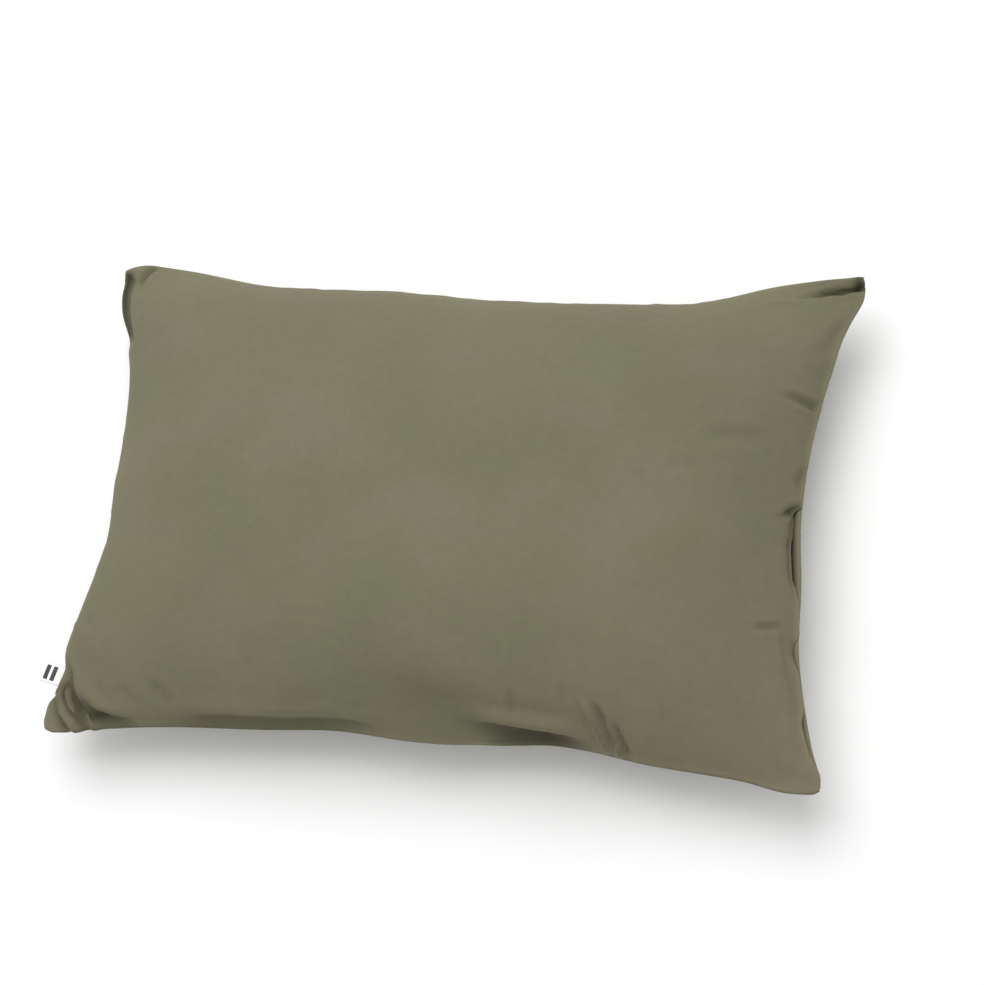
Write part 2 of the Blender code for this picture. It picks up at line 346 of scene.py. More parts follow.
@dataclass
class Graph:
    """A material's node tree, with short ways to add nodes."""

    material: bpy.types.Material

    @classmethod
    def new(cls, name: str) -> "Graph":
        """Starts a material with its one shader.

        Args:
            name: The material's name.

        Returns:
            The material's graph.
        """
        material = bpy.data.materials.new(name)
        material.use_nodes = True
        return cls(material)

    @property
    def shader(self) -> bpy.types.Node:
        """The material's shader."""
        return self.material.node_tree.nodes["Principled BSDF"]

    def set(self, **values: object) -> None:
        """Sets the shader's own sockets, named with underscores for spaces."""
        for name, value in values.items():
            self.shader.inputs[name.replace("_", " ")].default_value = value

    def node(self, kind: str, **inputs: object) -> bpy.types.Node:
        """Adds a node, and sets or links its inputs.

        Args:
            kind: The node's type name, without its ShaderNode start.
            **inputs: Values or output sockets, keyed by input name with underscores for spaces.

        Returns:
            The new node.
        """
        node = self.material.node_tree.nodes.new("ShaderNode" + kind)
        for name, value in inputs.items():
            socket = node.inputs[name.replace("_", " ")]
            self.feed(value, socket)
        return node

    def feed(self, value: object, socket: bpy.types.NodeSocket) -> None:
        """Fills an input.

        Args:
            value: An output socket to link, or a plain value.
            socket: The input.
        """
        if isinstance(value, bpy.types.NodeSocket):
            self.material.node_tree.links.new(value, socket)
        else:
            socket.default_value = value

    def math(self, operation: str, first: object, second: object = 0.0) -> bpy.types.NodeSocket:
        """Works one sum.

        Args:
            operation: The kind of sum.
            first: A value or an output socket.
            second: Another one.

        Returns:
            The result's socket.
        """
        node = self.material.node_tree.nodes.new("ShaderNodeMath")
        node.operation = operation
        self.feed(first, node.inputs[0])
        self.feed(second, node.inputs[1])
        return node.outputs[0]

    def spread(
        self, value: object, low: float, high: float, to_low: float, to_high: float
    ) -> bpy.types.NodeSocket:
        """Takes a value's range to another one, and holds it there."""
        ends = {"From_Min": low, "From_Max": high, "To_Min": to_low, "To_Max": to_high}
        return self.node("MapRange", Value=value, **ends).outputs[0]

    def flat_place(self) -> bpy.types.NodeSocket:
        """Reads the place on the flat cloth.

        Returns:
            The place, in metres.
        """
        uv = self.node("UVMap")
        uv.uv_map = CLOTH_UV
        return uv.outputs[0]

    def stretch(self, where: object, scale: tuple[float, float, float]) -> bpy.types.NodeSocket:
        """Coordinates stretched along their axes."""
        return self.node("Mapping", Vector=where, Scale=scale).outputs[0]

    def noise(self, where: object, scale: float, detail: float = 2.0) -> bpy.types.NodeSocket:
        """Noise from 0 to 1."""
        return self.node("TexNoise", Vector=where, Scale=scale, Detail=detail).outputs[0]

    def bands(self, where: object, direction: str, period: float) -> bpy.types.NodeSocket:
        """Makes smooth bands.

        Args:
            where: The coordinates.
            direction: X or Y, the way across the bands.
            period: Distance from band to band.

        Returns:
            A value from 0 to 1.
        """
        node = self.node("TexWave", Vector=where, Scale=math.pi / 10 / period)
        node.wave_type = "BANDS"
        node.bands_direction = direction
        return node.outputs["Fac"]

    def tint(self, colour: object, factor: object) -> bpy.types.NodeSocket:
        """Makes a colour lighter or darker.

        Args:
            colour: A colour or an output socket.
            factor: What to multiply it by.

        Returns:
            The new colour's socket.
        """
        node = self.node("VectorMath")
        node.operation = "SCALE"
        self.feed(colour, node.inputs[0])
        self.feed(factor, node.inputs["Scale"])
        return node.outputs[0]

    def blend(self, first: Colour, second: Colour, share: object) -> bpy.types.NodeSocket:
        """Blends two colours.

        Args:
            first: The colour where the share is 0.
            second: The colour where it is 1.
            share: The share of the second.

        Returns:
            The blend's socket.
        """
        plain = self.tint(first, self.math("SUBTRACT", 1.0, share))
        added = self.node("VectorMath")
        added.operation = "ADD"
        self.feed(plain, added.inputs[0])
        self.feed(self.tint(second, share), added.inputs[1])
        return added.outputs[0]

    def bump(
        self, height: object, distance: float, strength: float, under: object = None
    ) -> bpy.types.NodeSocket:
        """Lays a bump on top of another one.

        Args:
            height: The bump's height, from 0 to 1.
            distance: What a height of 1 stands for.
            strength: How strongly it shows.
            under: The bump that it lies on.

        Returns:
            The bumped normal's socket.
        """
        node = self.node("Bump", Height=height, Distance=distance, Strength=strength)
        if under is not None:
            self.feed(under, node.inputs["Normal"])
        return node.outputs[0]


@dataclass(frozen=True)
class WovenCloth:
    """A plain-woven cotton, washed until it is soft."""

    name: str
    colour: Colour
    faded: Colour
    thread_pitch: float = 0.0009
    weave_depth: float = 0.00012
    slub_share: float = 0.05
    slub_warp: Scale = (22, 700, 1)
    slub_weft: Scale = (700, 26, 1)
    cloud_share: float = 0.05
    cloud_scale: float = 9.0
    mottle_share: float = 0.03
    mottle_scale: float = 130.0
    fade_scale: Scale = (9, 14, 1)
    fade_range: tuple[float, float] = (0.38, 0.62)
    crinkle_scale: Scale = (60, 95, 1)
    crinkle_depth: float = 0.0009
    worn_edge: float = 0.14
    worn_width: float = 0.005
    half_cut: tuple[float, float] = (0.300, 0.200)
    roughness: float = 0.92
    sheen: float = 0.18

    def material(self) -> bpy.types.Material:
        """Makes the finish, on the cloth's own flat coordinates, with painted shade darkening its folds.

        Returns:
            The material.
        """
        g = Graph.new(self.name)
        where = g.flat_place()
        warp = g.bands(where, "X", 2 * self.thread_pitch)
        weft = g.bands(where, "Y", 2 * self.thread_pitch)
        weave = g.math("MULTIPLY", g.math("SUBTRACT", warp, 0.5), g.math("SUBTRACT", weft, 0.5))
        slub_along = g.noise(g.stretch(where, self.slub_warp), 1.0, 3.0)
        slub_across = g.noise(g.stretch(where, self.slub_weft), 1.0, 3.0)
        slub = g.math("ADD", slub_along, slub_across)
        shade = g.math("ADD", 1 - self.slub_share, g.math("MULTIPLY", slub, self.slub_share))
        for scale, share in ((self.cloud_scale, self.cloud_share), (self.mottle_scale, self.mottle_share)):
            patches = g.spread(g.noise(where, scale, 3.0), *NOISE_RANGE, -share, share)
            shade = g.math("ADD", shade, patches)
        shade = g.math("ADD", shade, g.math("MULTIPLY", self._edge(g, where), self.worn_edge))
        # Painted shade: the colour is darkened in creases and folds by each point's painted fold shade.
        folds = g.node("Attribute")
        folds.attribute_name = PAINTED_FOLD_SHADE
        shade = g.math("MULTIPLY", shade, g.math("SUBTRACT", 1.0, folds.outputs["Fac"]))
        faded = g.spread(g.noise(g.stretch(where, self.fade_scale), 1.0, 3.0), *self.fade_range, 0.0, 1.0)
        g.feed(g.tint(g.blend(self.colour, self.faded, faded), shade), g.shader.inputs["Base Color"])
        crinkle = g.noise(g.stretch(where, self.crinkle_scale), 1.0, 4.0)
        crinkle = g.math("ABSOLUTE", g.math("SUBTRACT", crinkle, 0.5))
        normal = g.bump(crinkle, self.crinkle_depth, 0.35)
        normal = g.bump(slub, self.weave_depth, 0.5, normal)
        normal = g.bump(weave, self.weave_depth, 0.6, normal)
        g.feed(normal, g.shader.inputs["Normal"])
        g.set(Roughness=self.roughness, Sheen_Weight=self.sheen, Sheen_Roughness=0.5)
        g.set(Sheen_Tint=(*[min(1.0, c * 3) for c in self.colour], 1.0), Specular_IOR_Level=0.2)
        return g.material

    def _edge(self, g: Graph, where: object) -> bpy.types.NodeSocket:
        """Finds the cut's edges, where seams rub.

        Args:
            g: The material's graph.
            where: The place on the flat cloth.

        Returns:
            1 along the edges and 0 inside.
        """
        parts = g.node("SeparateXYZ", Vector=where)
        near = []
        for axis, half in enumerate(self.half_cut):
            away = g.math("SUBTRACT", half, g.math("ABSOLUTE", parts.outputs[axis]))
            near.append(g.spread(away, 0.0, self.worn_width, 1.0, 0.0))
        return g.math("MAXIMUM", near[0], near[1])


@dataclass(frozen=True)
class SewingThread:
    """Twisted polyester sewing thread."""

    name: str
    colour: Colour
    ply_scale: float = 2600.0
    ply_depth: float = 0.0001
    ply_shades: tuple[float, float] = (0.8, 1.15)
    roughness: float = 0.6
    sheen: float = 0.1

    def material(self) -> bpy.types.Material:
        """Makes the finish.

        Returns:
            The material.
        """
        g = Graph.new(self.name)
        where = g.node("TexCoord").outputs["Object"]
        ply = g.noise(where, self.ply_scale)
        shade = g.spread(ply, *NOISE_RANGE, *self.ply_shades)
        g.feed(g.tint(self.colour, shade), g.shader.inputs["Base Color"])
        g.feed(g.bump(ply, self.ply_depth, 0.5), g.shader.inputs["Normal"])
        g.set(Roughness=self.roughness, Sheen_Weight=self.sheen)
        return g.material


@dataclass(frozen=True)
class WovenTape:
    """Narrow satin-woven label tape."""

    name: str
    colour: Colour
    rib_pitch: float = 0.0005
    rib_depth: float = 0.00004
    grain_scale: Scale = (400, 2500, 1)
    grain_share: float = 0.14
    grain_dark: float = 0.92
    roughness: float = 0.55
    sheen: float = 0.15

    def material(self) -> bpy.types.Material:
        """Makes the finish.

        Returns:
            The material.
        """
        g = Graph.new(self.name)
        where = g.flat_place()
        ribs = g.bands(where, "Y", self.rib_pitch)
        grain = g.noise(g.stretch(where, self.grain_scale), 1.0)
        shade = g.math("ADD", self.grain_dark, g.math("MULTIPLY", grain, self.grain_share))
        g.feed(g.tint(self.colour, shade), g.shader.inputs["Base Color"])
        g.feed(g.bump(ribs, self.rib_depth, 0.5), g.shader.inputs["Normal"])
        g.set(Roughness=self.roughness, Sheen_Weight=self.sheen)
        return g.material


@dataclass(frozen=True)
class HollowFibre:
    """Loose white polyester fibre."""

    name: str
    colour: Colour
    tuft_scale: float = 45.0
    tuft_depth: float = 0.004
    tuft_shades: tuple[float, float] = (0.84, 1.0)
    strand_scale: Scale = (900, 160, 500)
    strand_depth: float = 0.0006
    strand_share: float = 0.06
    roughness: float = 0.95
    sheen: float = 0.5

    def material(self) -> bpy.types.Material:
        """Makes the finish.

        Returns:
            The material.
        """
        g = Graph.new(self.name)
        where = g.node("TexCoord").outputs["Object"]
        tufts = g.noise(where, self.tuft_scale, 5.0)
        strands = g.noise(g.stretch(where, self.strand_scale), 1.0, 4.0)
        shade = g.spread(tufts, *NOISE_RANGE, *self.tuft_shades)
        shade = g.math("ADD", shade, g.math("MULTIPLY", strands, self.strand_share))
        g.feed(g.tint(self.colour, shade), g.shader.inputs["Base Color"])
        fluff = g.bump(strands, self.strand_depth, 0.7, g.bump(tufts, self.tuft_depth, 0.6))
        g.feed(fluff, g.shader.inputs["Normal"])
        g.set(Roughness=self.roughness, Sheen_Weight=self.sheen)
        return g.material


KHAKI = WovenCloth("washed_khaki_cotton", (0.152, 0.148, 0.091), (0.163, 0.150, 0.099))
KHAKI_THREAD = SewingThread("khaki_thread", (0.130, 0.120, 0.076))
TICKING = WovenCloth(
    "white_cotton_ticking",
    (0.80, 0.79, 0.76),
    (0.81, 0.80, 0.78),
    thread_pitch=0.0007,
    cloud_share=0.02,
    worn_edge=0.02,
)
TICKING_THREAD = SewingThread("white_thread", (0.72, 0.71, 0.68))
TAPE = WovenTape("white_label_tape", (0.86, 0.86, 0.84))
TAPE_BARS = WovenTape("dark_label_bars", (0.035, 0.035, 0.038))
FIBRE = HollowFibre("hollow_fibre", (0.88, 0.88, 0.87))


# ---------------------------------------------------------------- the case's shape


@dataclass(frozen=True)
class CaseBox:
    """The case's size and place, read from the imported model."""

    middle_x: float
    half_length: float
    half_width: float
    seam: float

    @classmethod
    def from_frame(cls) -> "CaseBox":
        """Reads the case from its two panels.

        Returns:
            The case's size and place.
        """
        front_low, front_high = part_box("case_front_panel")
        back_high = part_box("case_back_panel")[1]
        return cls(
            middle_x=(front_low[0] + front_high[0]) / 2,
            half_length=(front_high[0] - front_low[0]) / 2,
            half_width=(front_high[1] - front_low[1]) / 2,
            seam=(front_low[2] + back_high[2]) / 2,
        )


@dataclass
class CutGrid:
    """The grid of the flat-cut cloth that every layer shares."""

    length: float = 0.600
    width: float = 0.400
    cell: float = 0.005

    def __post_init__(self) -> None:
        """Works out the grid's lines."""
        columns = round(self.length / self.cell) + 1
        rows = round(self.width / self.cell) + 1
        self.u, self.v = np.meshgrid(np.linspace(-1, 1, columns), np.linspace(-1, 1, rows))

    @property
    def along(self) -> Array:
        """Places along the flat cut, from its middle."""
        return self.u * self.length / 2

    @property
    def across(self) -> Array:
        """Places across the flat cut, from its middle."""
        return self.v * self.width / 2

    def flat(self) -> Array:
        """The grid's points on the cutting table."""
        return np.stack([self.along, self.across, 0 * self.u], -1)

    def from_edge(self) -> Array:
        """Distance on the flat cut from its nearest edge."""
        return np.minimum(self.length / 2 - np.abs(self.along), self.width / 2 - np.abs(self.across))

    def from_one_edge(self, edge: Edge) -> tuple[Array, Array]:
        """Measures the flat cut from one edge.

        Args:
            edge: The edge.

        Returns:
            The distance from the edge, and the place along it.
        """
        sign = 1 if edge in (Edge.OPEN, Edge.UPPER) else -1
        if edge in (Edge.CLOSED, Edge.OPEN):
            return self.length / 2 - sign * self.along, self.across
        return self.width / 2 - sign * self.across, self.along

    def from_corner(self) -> Array:
        """Distance on the flat cut from its nearest corner."""
        return np.hypot(self.length / 2 - np.abs(self.along), self.width / 2 - np.abs(self.across))


@dataclass(frozen=True)
class Ear:
    """One corner of the filled case: how far it is pushed, and how round it is."""

    shift_x: float = 0.0
    shift_y: float = 0.0
    radius: float = 0.003
    reach: float = 0.050


@dataclass
class PillowForm:
    """The shape that the fill gives the case before its cloth settles.

    The insets say how far each edge is drawn in, at equal steps along it. The nudges are small changes to
    them: a place along the edge, a reach and an amount. The flanges are flat margins along the edges.
    """

    box: CaseBox
    grid: CutGrid
    crown: float = 0.0705
    belly: float = 0.080
    plan_power: float = 2.85
    rim_power: float = 0.68
    ear_reach: float = 0.040
    inward_power: float = 3.0
    insets: dict[Edge, tuple[float, ...]] = field(
        default_factory=lambda: {
            Edge.CLOSED: (0.005, 0.015, 0.024, 0.022, 0.021, 0.016, 0.005),
            Edge.OPEN: (0.012, 0.021, 0.023, 0.027, 0.025, 0.018, 0.008),
            Edge.UPPER: (0.006, 0.016, 0.019, 0.020, 0.024, 0.0265, 0.026, 0.022, 0.007),
            Edge.LOWER: (0.001, 0.005, 0.008, 0.012, 0.009, 0.010, 0.014, 0.0065, 0.0025),
        }
    )
    ears: dict[tuple[int, int], Ear] = field(
        default_factory=lambda: {
            (-1, 1): Ear(-0.014, 0.003, 0.030),
            (1, 1): Ear(0.0056, 0.004, 0.007),
            (1, -1): Ear(0.0015, -0.0035, 0.008),
            (-1, -1): Ear(0.0, -0.0085, 0.011),
        }
    )
    flanges: dict[Edge, float] = field(
        default_factory=lambda: {Edge.CLOSED: 0.0, Edge.OPEN: 0.004, Edge.UPPER: 0.0, Edge.LOWER: 0.0020}
    )
    nudges: dict[Edge, tuple[tuple[float, float, float], ...]] = field(
        default_factory=lambda: {
            Edge.CLOSED: ((-0.156, 0.016, 0.003), (-0.1475, 0.009, 0.0034), (0.150, 0.016, -0.003)),
            Edge.OPEN: ((0.172, 0.013, -0.0034), (0.140, 0.014, 0.0012), (-0.180, 0.012, -0.0018)),
            Edge.UPPER: (),
            Edge.LOWER: ((0.268, 0.018, -0.0025),),
        }
    )

    def plan(self) -> tuple[Array, Array]:
        """Lays the grid's points out as the filled case is seen from above.

        Returns:
            X and Y of each point, measured from the middle of the case.
        """
        u, v = self.grid.u, self.grid.v
        ends = np.where(u > 0, -self._inset(Edge.OPEN), self._inset(Edge.CLOSED))
        sides = np.where(v > 0, -self._inset(Edge.UPPER), self._inset(Edge.LOWER))
        x = self.box.half_length * u + ends * np.abs(u) ** self.inward_power
        y = self.box.half_width * v + sides * np.abs(v) ** self.inward_power
        for (end, side), ear in self.ears.items():
            from_x = (1 - end * u) * self.box.half_length
            from_y = (1 - side * v) * self.box.half_width
            a = np.clip((ear.radius - from_x) / ear.radius, 0, None)
            b = np.clip((ear.radius - from_y) / ear.radius, 0, None)
            drawn = 1 - corner_keep(a, b)
            near = bell(np.hypot(from_x, from_y) / ear.reach)
            x = x - end * a * drawn * ear.radius + ear.shift_x * near
            y = y - side * b * drawn * ear.radius + ear.shift_y * near
        return x, y

    def _inset(self, edge: Edge) -> Array:
        """Finds how far the fill draws one edge in.

        Args:
            edge: The edge.

        Returns:
            The distance at each place of the grid.
        """
        end_on = edge in (Edge.CLOSED, Edge.OPEN)
        share = self.grid.v if end_on else self.grid.u
        place = share * (self.box.half_width if end_on else self.box.half_length)
        inset = spline(self.insets[edge], share)
        for centre, reach, amount in self.nudges[edge]:
            inset = inset + amount * bell((place - centre) / reach)
        return inset

    def fullness(self) -> Array:
        """Finds how full the case is at each point.

        Returns:
            Share of the full height: 0 at the rim, flat in the ears, 1 in the middle.
        """
        u, v = self.grid.u, self.grid.v
        ends = np.where(u > 0, self.flanges[Edge.OPEN], self.flanges[Edge.CLOSED])
        sides = np.where(v > 0, self.flanges[Edge.UPPER], self.flanges[Edge.LOWER])
        along = np.clip(np.abs(u) / (1 - ends / self.box.half_length), 0, 1)
        across = np.clip(np.abs(v) / (1 - sides / self.box.half_width), 0, 1)
        square = (1 - along**self.plan_power) * (1 - across**self.plan_power)
        away = np.hypot((1 - np.abs(u)) * self.box.half_length, (1 - np.abs(v)) * self.box.half_width)
        return np.clip(square, 0, None) ** self.rim_power * (1 - bell(away / self.ear_reach))

    def layer(self, side: Side) -> Array:
        """Makes one face of the form.

        Args:
            side: Which face.

        Returns:
            The face's points, rows by columns by 3.
        """
        x, y = self.plan()
        full = self.fullness()
        if side is Side.FRONT:
            z = self.box.seam + self.crown * full
        else:
            z = np.maximum(self.box.seam - self.belly * full, 0.0)
        return np.stack([x + self.box.middle_x, y, z], -1)


@dataclass
class ClothSettle:
    """Settles sewn cloth over its fill: the cloth keeps its cut size, so what is spare puckers.

    The holds say how firmly the cloth stays on the fill's form: most at the rim and the corners. The fill
    pushes nowhere in the ears, and less and less towards the open end and the lower seam.
    """

    frames: int = 24
    quality: int = 5
    tension: float = 40.0
    shear: float = 12.0
    bending: float = 0.5
    pressure: float = 0.3
    pressure_factor: float = 8.0
    vertex_mass: float = 0.02
    damping: float = 10.0
    air_damping: float = 5.0
    bending_damping: float = 1.0
    ear_reach: float = 0.050
    open_margin: tuple[float, float] = (0.004, 0.010)
    lower_margin: tuple[float, float] = (0.002, 0.008)
    rim_hold: float = 0.5
    rim_reach: float = 0.006
    corner_hold: float = 1.0
    corner_reach: float = 0.020
    body_hold: float = 0.02
    hold_stiffness: float = 1.0
    levels: int = 40

    def run(self, grid: CutGrid, front: Array, back: Array) -> tuple[Array, Array]:
        """Sews the two layers along their rim and settles them.

        Args:
            grid: The cut cloth's grid.
            front: The front layer's points.
            back: The back layer's points, whose rim is the front's.

        Returns:
            The settled front and back layers.
        """
        front_index = grid_index(front)
        back_index = front_index.copy()
        inner = np.zeros(front.shape[:2], bool)
        inner[1:-1, 1:-1] = True
        back_index[inner] = front_index.size + np.arange(inner.sum())
        points = np.concatenate([front.reshape(-1, 3), back[inner]])
        flat = np.concatenate([grid.flat().reshape(-1, 3), grid.flat()[inner]])
        faces = np.concatenate([grid_quads(front_index, Side.FRONT), grid_quads(back_index, Side.BACK)])
        bag = new_piece("sewn_bag", points, faces)
        bag.shape_key_add(name="filled")
        cut = bag.shape_key_add(name="cut")
        cut.data.foreach_set("co", flat.ravel())
        cut.value = 0.0
        filled = 1 - bell(grid.from_corner() / self.ear_reach)
        for edge, (start, fade) in ((Edge.OPEN, self.open_margin), (Edge.LOWER, self.lower_margin)):
            filled *= smoothstep((grid.from_one_edge(edge)[0] - start) / fade)
        held = np.full(front.shape[:2], self.body_hold)
        held = np.maximum(held, self.rim_hold * bell(grid.from_edge() / self.rim_reach))
        held = np.maximum(held, self.corner_hold * bell(grid.from_corner() / self.corner_reach))
        self._mark(bag, "filled", filled, (front_index, back_index))
        self._mark(bag, "held", held, (front_index, back_index))
        self._dress(bag, cut)
        scene = bpy.context.scene
        for number in range(1, self.frames + 1):
            scene.frame_set(number)
        shape = bag.evaluated_get(bpy.context.evaluated_depsgraph_get()).to_mesh()
        settled = np.empty(len(shape.vertices) * 3)
        shape.vertices.foreach_get("co", settled)
        settled = settled.reshape(-1, 3)
        bpy.data.objects.remove(bag, do_unlink=True)
        scene.frame_set(1)
        return settled[front_index], settled[back_index]

    def _mark(self, bag: bpy.types.Object, name: str, weight: Array, layers: tuple[Array, Array]) -> None:
        """Writes a weight on both layers as a vertex group.

        Args:
            bag: The sewn bag.
            name: The group's name.
            weight: The weight at each place of the grid.
            layers: The point numbers of each layer.
        """
        group = bag.vertex_groups.new(name=name)
        steps = np.round(weight * self.levels) / self.levels
        for index in layers:
            for value in np.unique(steps):
                group.add(index[steps == value].tolist(), float(value), "REPLACE")

    def _dress(self, bag: bpy.types.Object, cut: bpy.types.ShapeKey) -> None:
        """Gives the bag its cloth settings.

        Args:
            bag: The sewn bag.
            cut: Its flat-cut shape, whose size the cloth keeps.
        """
        measure = bmesh.new()
        measure.from_mesh(bag.data)
        volume = measure.calc_volume()
        measure.free()
        cloth = bag.modifiers.new("settle", "CLOTH")
        settings = cloth.settings
        settings.quality = self.quality
        settings.mass = self.vertex_mass
        settings.air_damping = self.air_damping
        settings.tension_stiffness = self.tension
        settings.compression_stiffness = self.tension
        settings.shear_stiffness = self.shear
        settings.bending_stiffness = self.bending
        settings.tension_damping = self.damping
        settings.compression_damping = self.damping
        settings.shear_damping = self.damping
        settings.bending_damping = self.bending_damping
        settings.use_pressure = True
        settings.uniform_pressure_force = self.pressure
        settings.use_pressure_volume = True
        settings.target_volume = volume
        settings.pressure_factor = self.pressure_factor
        settings.vertex_group_pressure = "filled"
        settings.vertex_group_mass = "held"
        settings.pin_stiffness = self.hold_stiffness
        settings.effector_weights.gravity = 0
        settings.rest_shape_key = cut
        cloth.collision_settings.use_collision = False
        cloth.collision_settings.use_self_collision = False
        cloth.point_cache.frame_start = 1
        cloth.point_cache.frame_end = self.frames


@dataclass(frozen=True)
class Crease:
    """A line worked into the cloth, from one place on the flat cut to another.

    The cloth that a line takes up comes from its two sides, which rise or sink a little the other way.
    The bow is how far the line's middle bends aside, and the fade the shares of its length over which it
    starts and ends. The shade is painted shade: how much its cloth's colour is darkened, because little light
    gets in.
    """

    start: tuple[float, float]
    end: tuple[float, float]
    depth: float
    width: float
    relief: Relief = Relief.GROOVE
    bow: float = 0.0
    fade: tuple[float, float] = (0.35, 0.35)
    shade: float = 0.0
    side_share: float = 0.45
    side_place: float = 1.9
    side_width: float = 0.9

    def lift(self, along: Array, across: Array) -> Array:
        """Finds how far the crease moves the cloth.

        Args:
            along: Places along the flat cut.
            across: Places across it.

        Returns:
            The move of each place along its outward normal.
        """
        off, ends = self._run(along, across)
        sides = bell((np.abs(off) - self.side_place) / self.side_width)
        return self.relief.value * self.depth * (bell(off) - self.side_share * sides) * ends

    def painted_darkness(self, along: Array, across: Array) -> Array:
        """How far the crease's painted shade darkens each place's colour."""
        off, ends = self._run(along, across)
        return self.shade * bell(off) * ends

    def _run(self, along: Array, across: Array) -> tuple[Array, Array]:
        """Measures the flat cut from the line.

        Args:
            along: Places along the flat cut.
            across: Places across it.

        Returns:
            Each place's distance from the line, in widths, and how strong the crease is there.
        """
        start, end = np.array(self.start), np.array(self.end)
        length = np.linalg.norm(end - start)
        way = (end - start) / length
        run = ((along - start[0]) * way[0] + (across - start[1]) * way[1]) / length
        off = (across - start[1]) * way[0] - (along - start[0]) * way[1]
        off = (off - self.bow * 4 * run * (1 - run)) / self.width
        return off, smoothstep(run / self.fade[0]) * smoothstep((1 - run) / self.fade[1])


@dataclass(frozen=True)
class Puff:
    """A soft swelling, or a dent if its height is below zero. Its shade is painted shade that darkens the
    colour around it.
    """

    centre: tuple[float, float]
    reach: tuple[float, float]
    height: float
    turn: float = 0.0
    shade: float = 0.0

    def lift(self, along: Array, across: Array) -> Array:
        """How far the puff moves each place along its outward normal."""
        return self.height * self._near(along, across)

    def painted_darkness(self, along: Array, across: Array) -> Array:
        """How far the puff's painted shade darkens each place's colour."""
        return self.shade * self._near(along, across)

    def _near(self, along: Array, across: Array) -> Array:
        """Measures how near the puff's centre each place is.

        Args:
            along: Places along the flat cut.
            across: Places across it.

        Returns:
            1 at the centre, falling to 0 outside.
        """
        a, b = along - self.centre[0], across - self.centre[1]
        c, s = math.cos(math.radians(self.turn)), math.sin(math.radians(self.turn))
        return bell(np.hypot((a * c + b * s) / self.reach[0], (b * c - a * s) / self.reach[1]))


@dataclass(frozen=True)
class Pucker:
    """Small folds that run in from a line of sewing, each one different.

    Soft waves and sharper folds are added, and both fade and come back along the sewing.
    """

    depth: float
    pitch: float
    reach: float
    seed: int
    edges: tuple[Edge, ...] = (Edge.UPPER, Edge.LOWER, Edge.CLOSED)
    middle: float = 0.006
    lean: float = 0.2
    soft_share: float = 0.6
    sharp_share: float = 0.7
    sharp_pitch: float = 1.7
    steady_share: float = 0.6
    fading_pitch: float = 6
    seeds_each: int = 5

    def lift(self, grid: CutGrid) -> Array:
        """Finds how far the folds move the cloth.

        Args:
            grid: The layer's grid.

        Returns:
            The move of each place along its outward normal.
        """
        lift = np.zeros(grid.u.shape)
        for number, edge in enumerate(self.edges):
            away, place = grid.from_one_edge(edge)
            line = place + self.lean * away
            seed = self.seed + self.seeds_each * number
            soft = wander(line, self.pitch, seed)
            fading = wander(line, self.fading_pitch * self.pitch, seed + 1)
            sharp = 0.5 - np.abs(wander(line, self.sharp_pitch * self.pitch, seed + 2))
            strong = self.steady_share + (1 - self.steady_share) * fading
            folds = self.soft_share * soft + self.sharp_share * sharp
            lift += self.depth * folds * strong * bell((away - self.middle) / self.reach)
        return lift


@dataclass(frozen=True)
class SeamTuck:
    """A stretch of seam, from start to end along its edge, drawn in and down under the case's bulge."""

    edge: Edge
    start: float
    end: float
    depth: float
    reach: float = 0.009
    drop: float = 0.0
    fade: float = 0.02

    def work(self, grid: CutGrid, front: Array, back: Array) -> None:
        """Moves both layers near the seam.

        Args:
            grid: The layers' grid.
            front: The front layer, changed in place.
            back: The back layer, changed in place.
        """
        sign = 1 if self.edge in (Edge.OPEN, Edge.UPPER) else -1
        axis = 0 if self.edge in (Edge.CLOSED, Edge.OPEN) else 1
        away, place = grid.from_one_edge(self.edge)
        near = bell(away / self.reach)
        near *= smoothstep((place - self.start) / self.fade) * smoothstep((self.end - place) / self.fade)
        for layer in (front, back):
            layer[..., axis] -= sign * self.depth * near
            layer[..., 2] -= self.drop * near


@dataclass(frozen=True)
class LipGap:
    """A stretch of the open end where the front's fold and the back's hem part.

    The front's fold is drawn back and lifted, and the back's lip can rise beside it.
    """

    start: float
    end: float
    draw_back: float
    part: float
    reach: float = 0.016
    fade: tuple[float, float] = (0.012, 0.012)
    ripple: float = 0.0
    ripple_pitch: float = 0.011
    ripple_seed: int = 77
    rise: float = 0.0
    rise_place: float = 0.005
    rise_reach: float = 0.007

    def work(self, grid: CutGrid, front: Array, back: Array) -> None:
        """Moves both layers' open edges apart.

        Args:
            grid: The layers' grid.
            front: The front layer, changed in place.
            back: The back layer, changed in place.
        """
        near = bell((grid.length / 2 - grid.along) / self.reach) * self._here(grid)
        near = near * (1 + self.ripple * wander(grid.across, self.ripple_pitch, self.ripple_seed))
        front[..., 0] -= self.draw_back * near
        front[..., 2] += self.part / 2 * near
        back[..., 2] -= self.part / 2 * near

    def turn_up(self, grid: CutGrid, back: Array) -> None:
        """Turns the back's lip up beside the front's fold.

        Args:
            grid: The layer's grid.
            back: The back layer, changed in place.
        """
        away = grid.length / 2 - grid.along
        back[..., 2] += self.rise * bell((away - self.rise_place) / self.rise_reach) * self._here(grid) ** 2

    def _here(self, grid: CutGrid) -> Array:
        """Finds the stretch that parts.

        Args:
            grid: The layer's grid.

        Returns:
            1 along the stretch, falling to 0 at its two ends.
        """
        low, high = self.fade
        return smoothstep((grid.across - self.start) / low) * smoothstep((self.end - grid.across) / high)


Moves = tuple[Crease | Puff, ...]
EdgeMoves = tuple[SeamTuck | LipGap, ...]


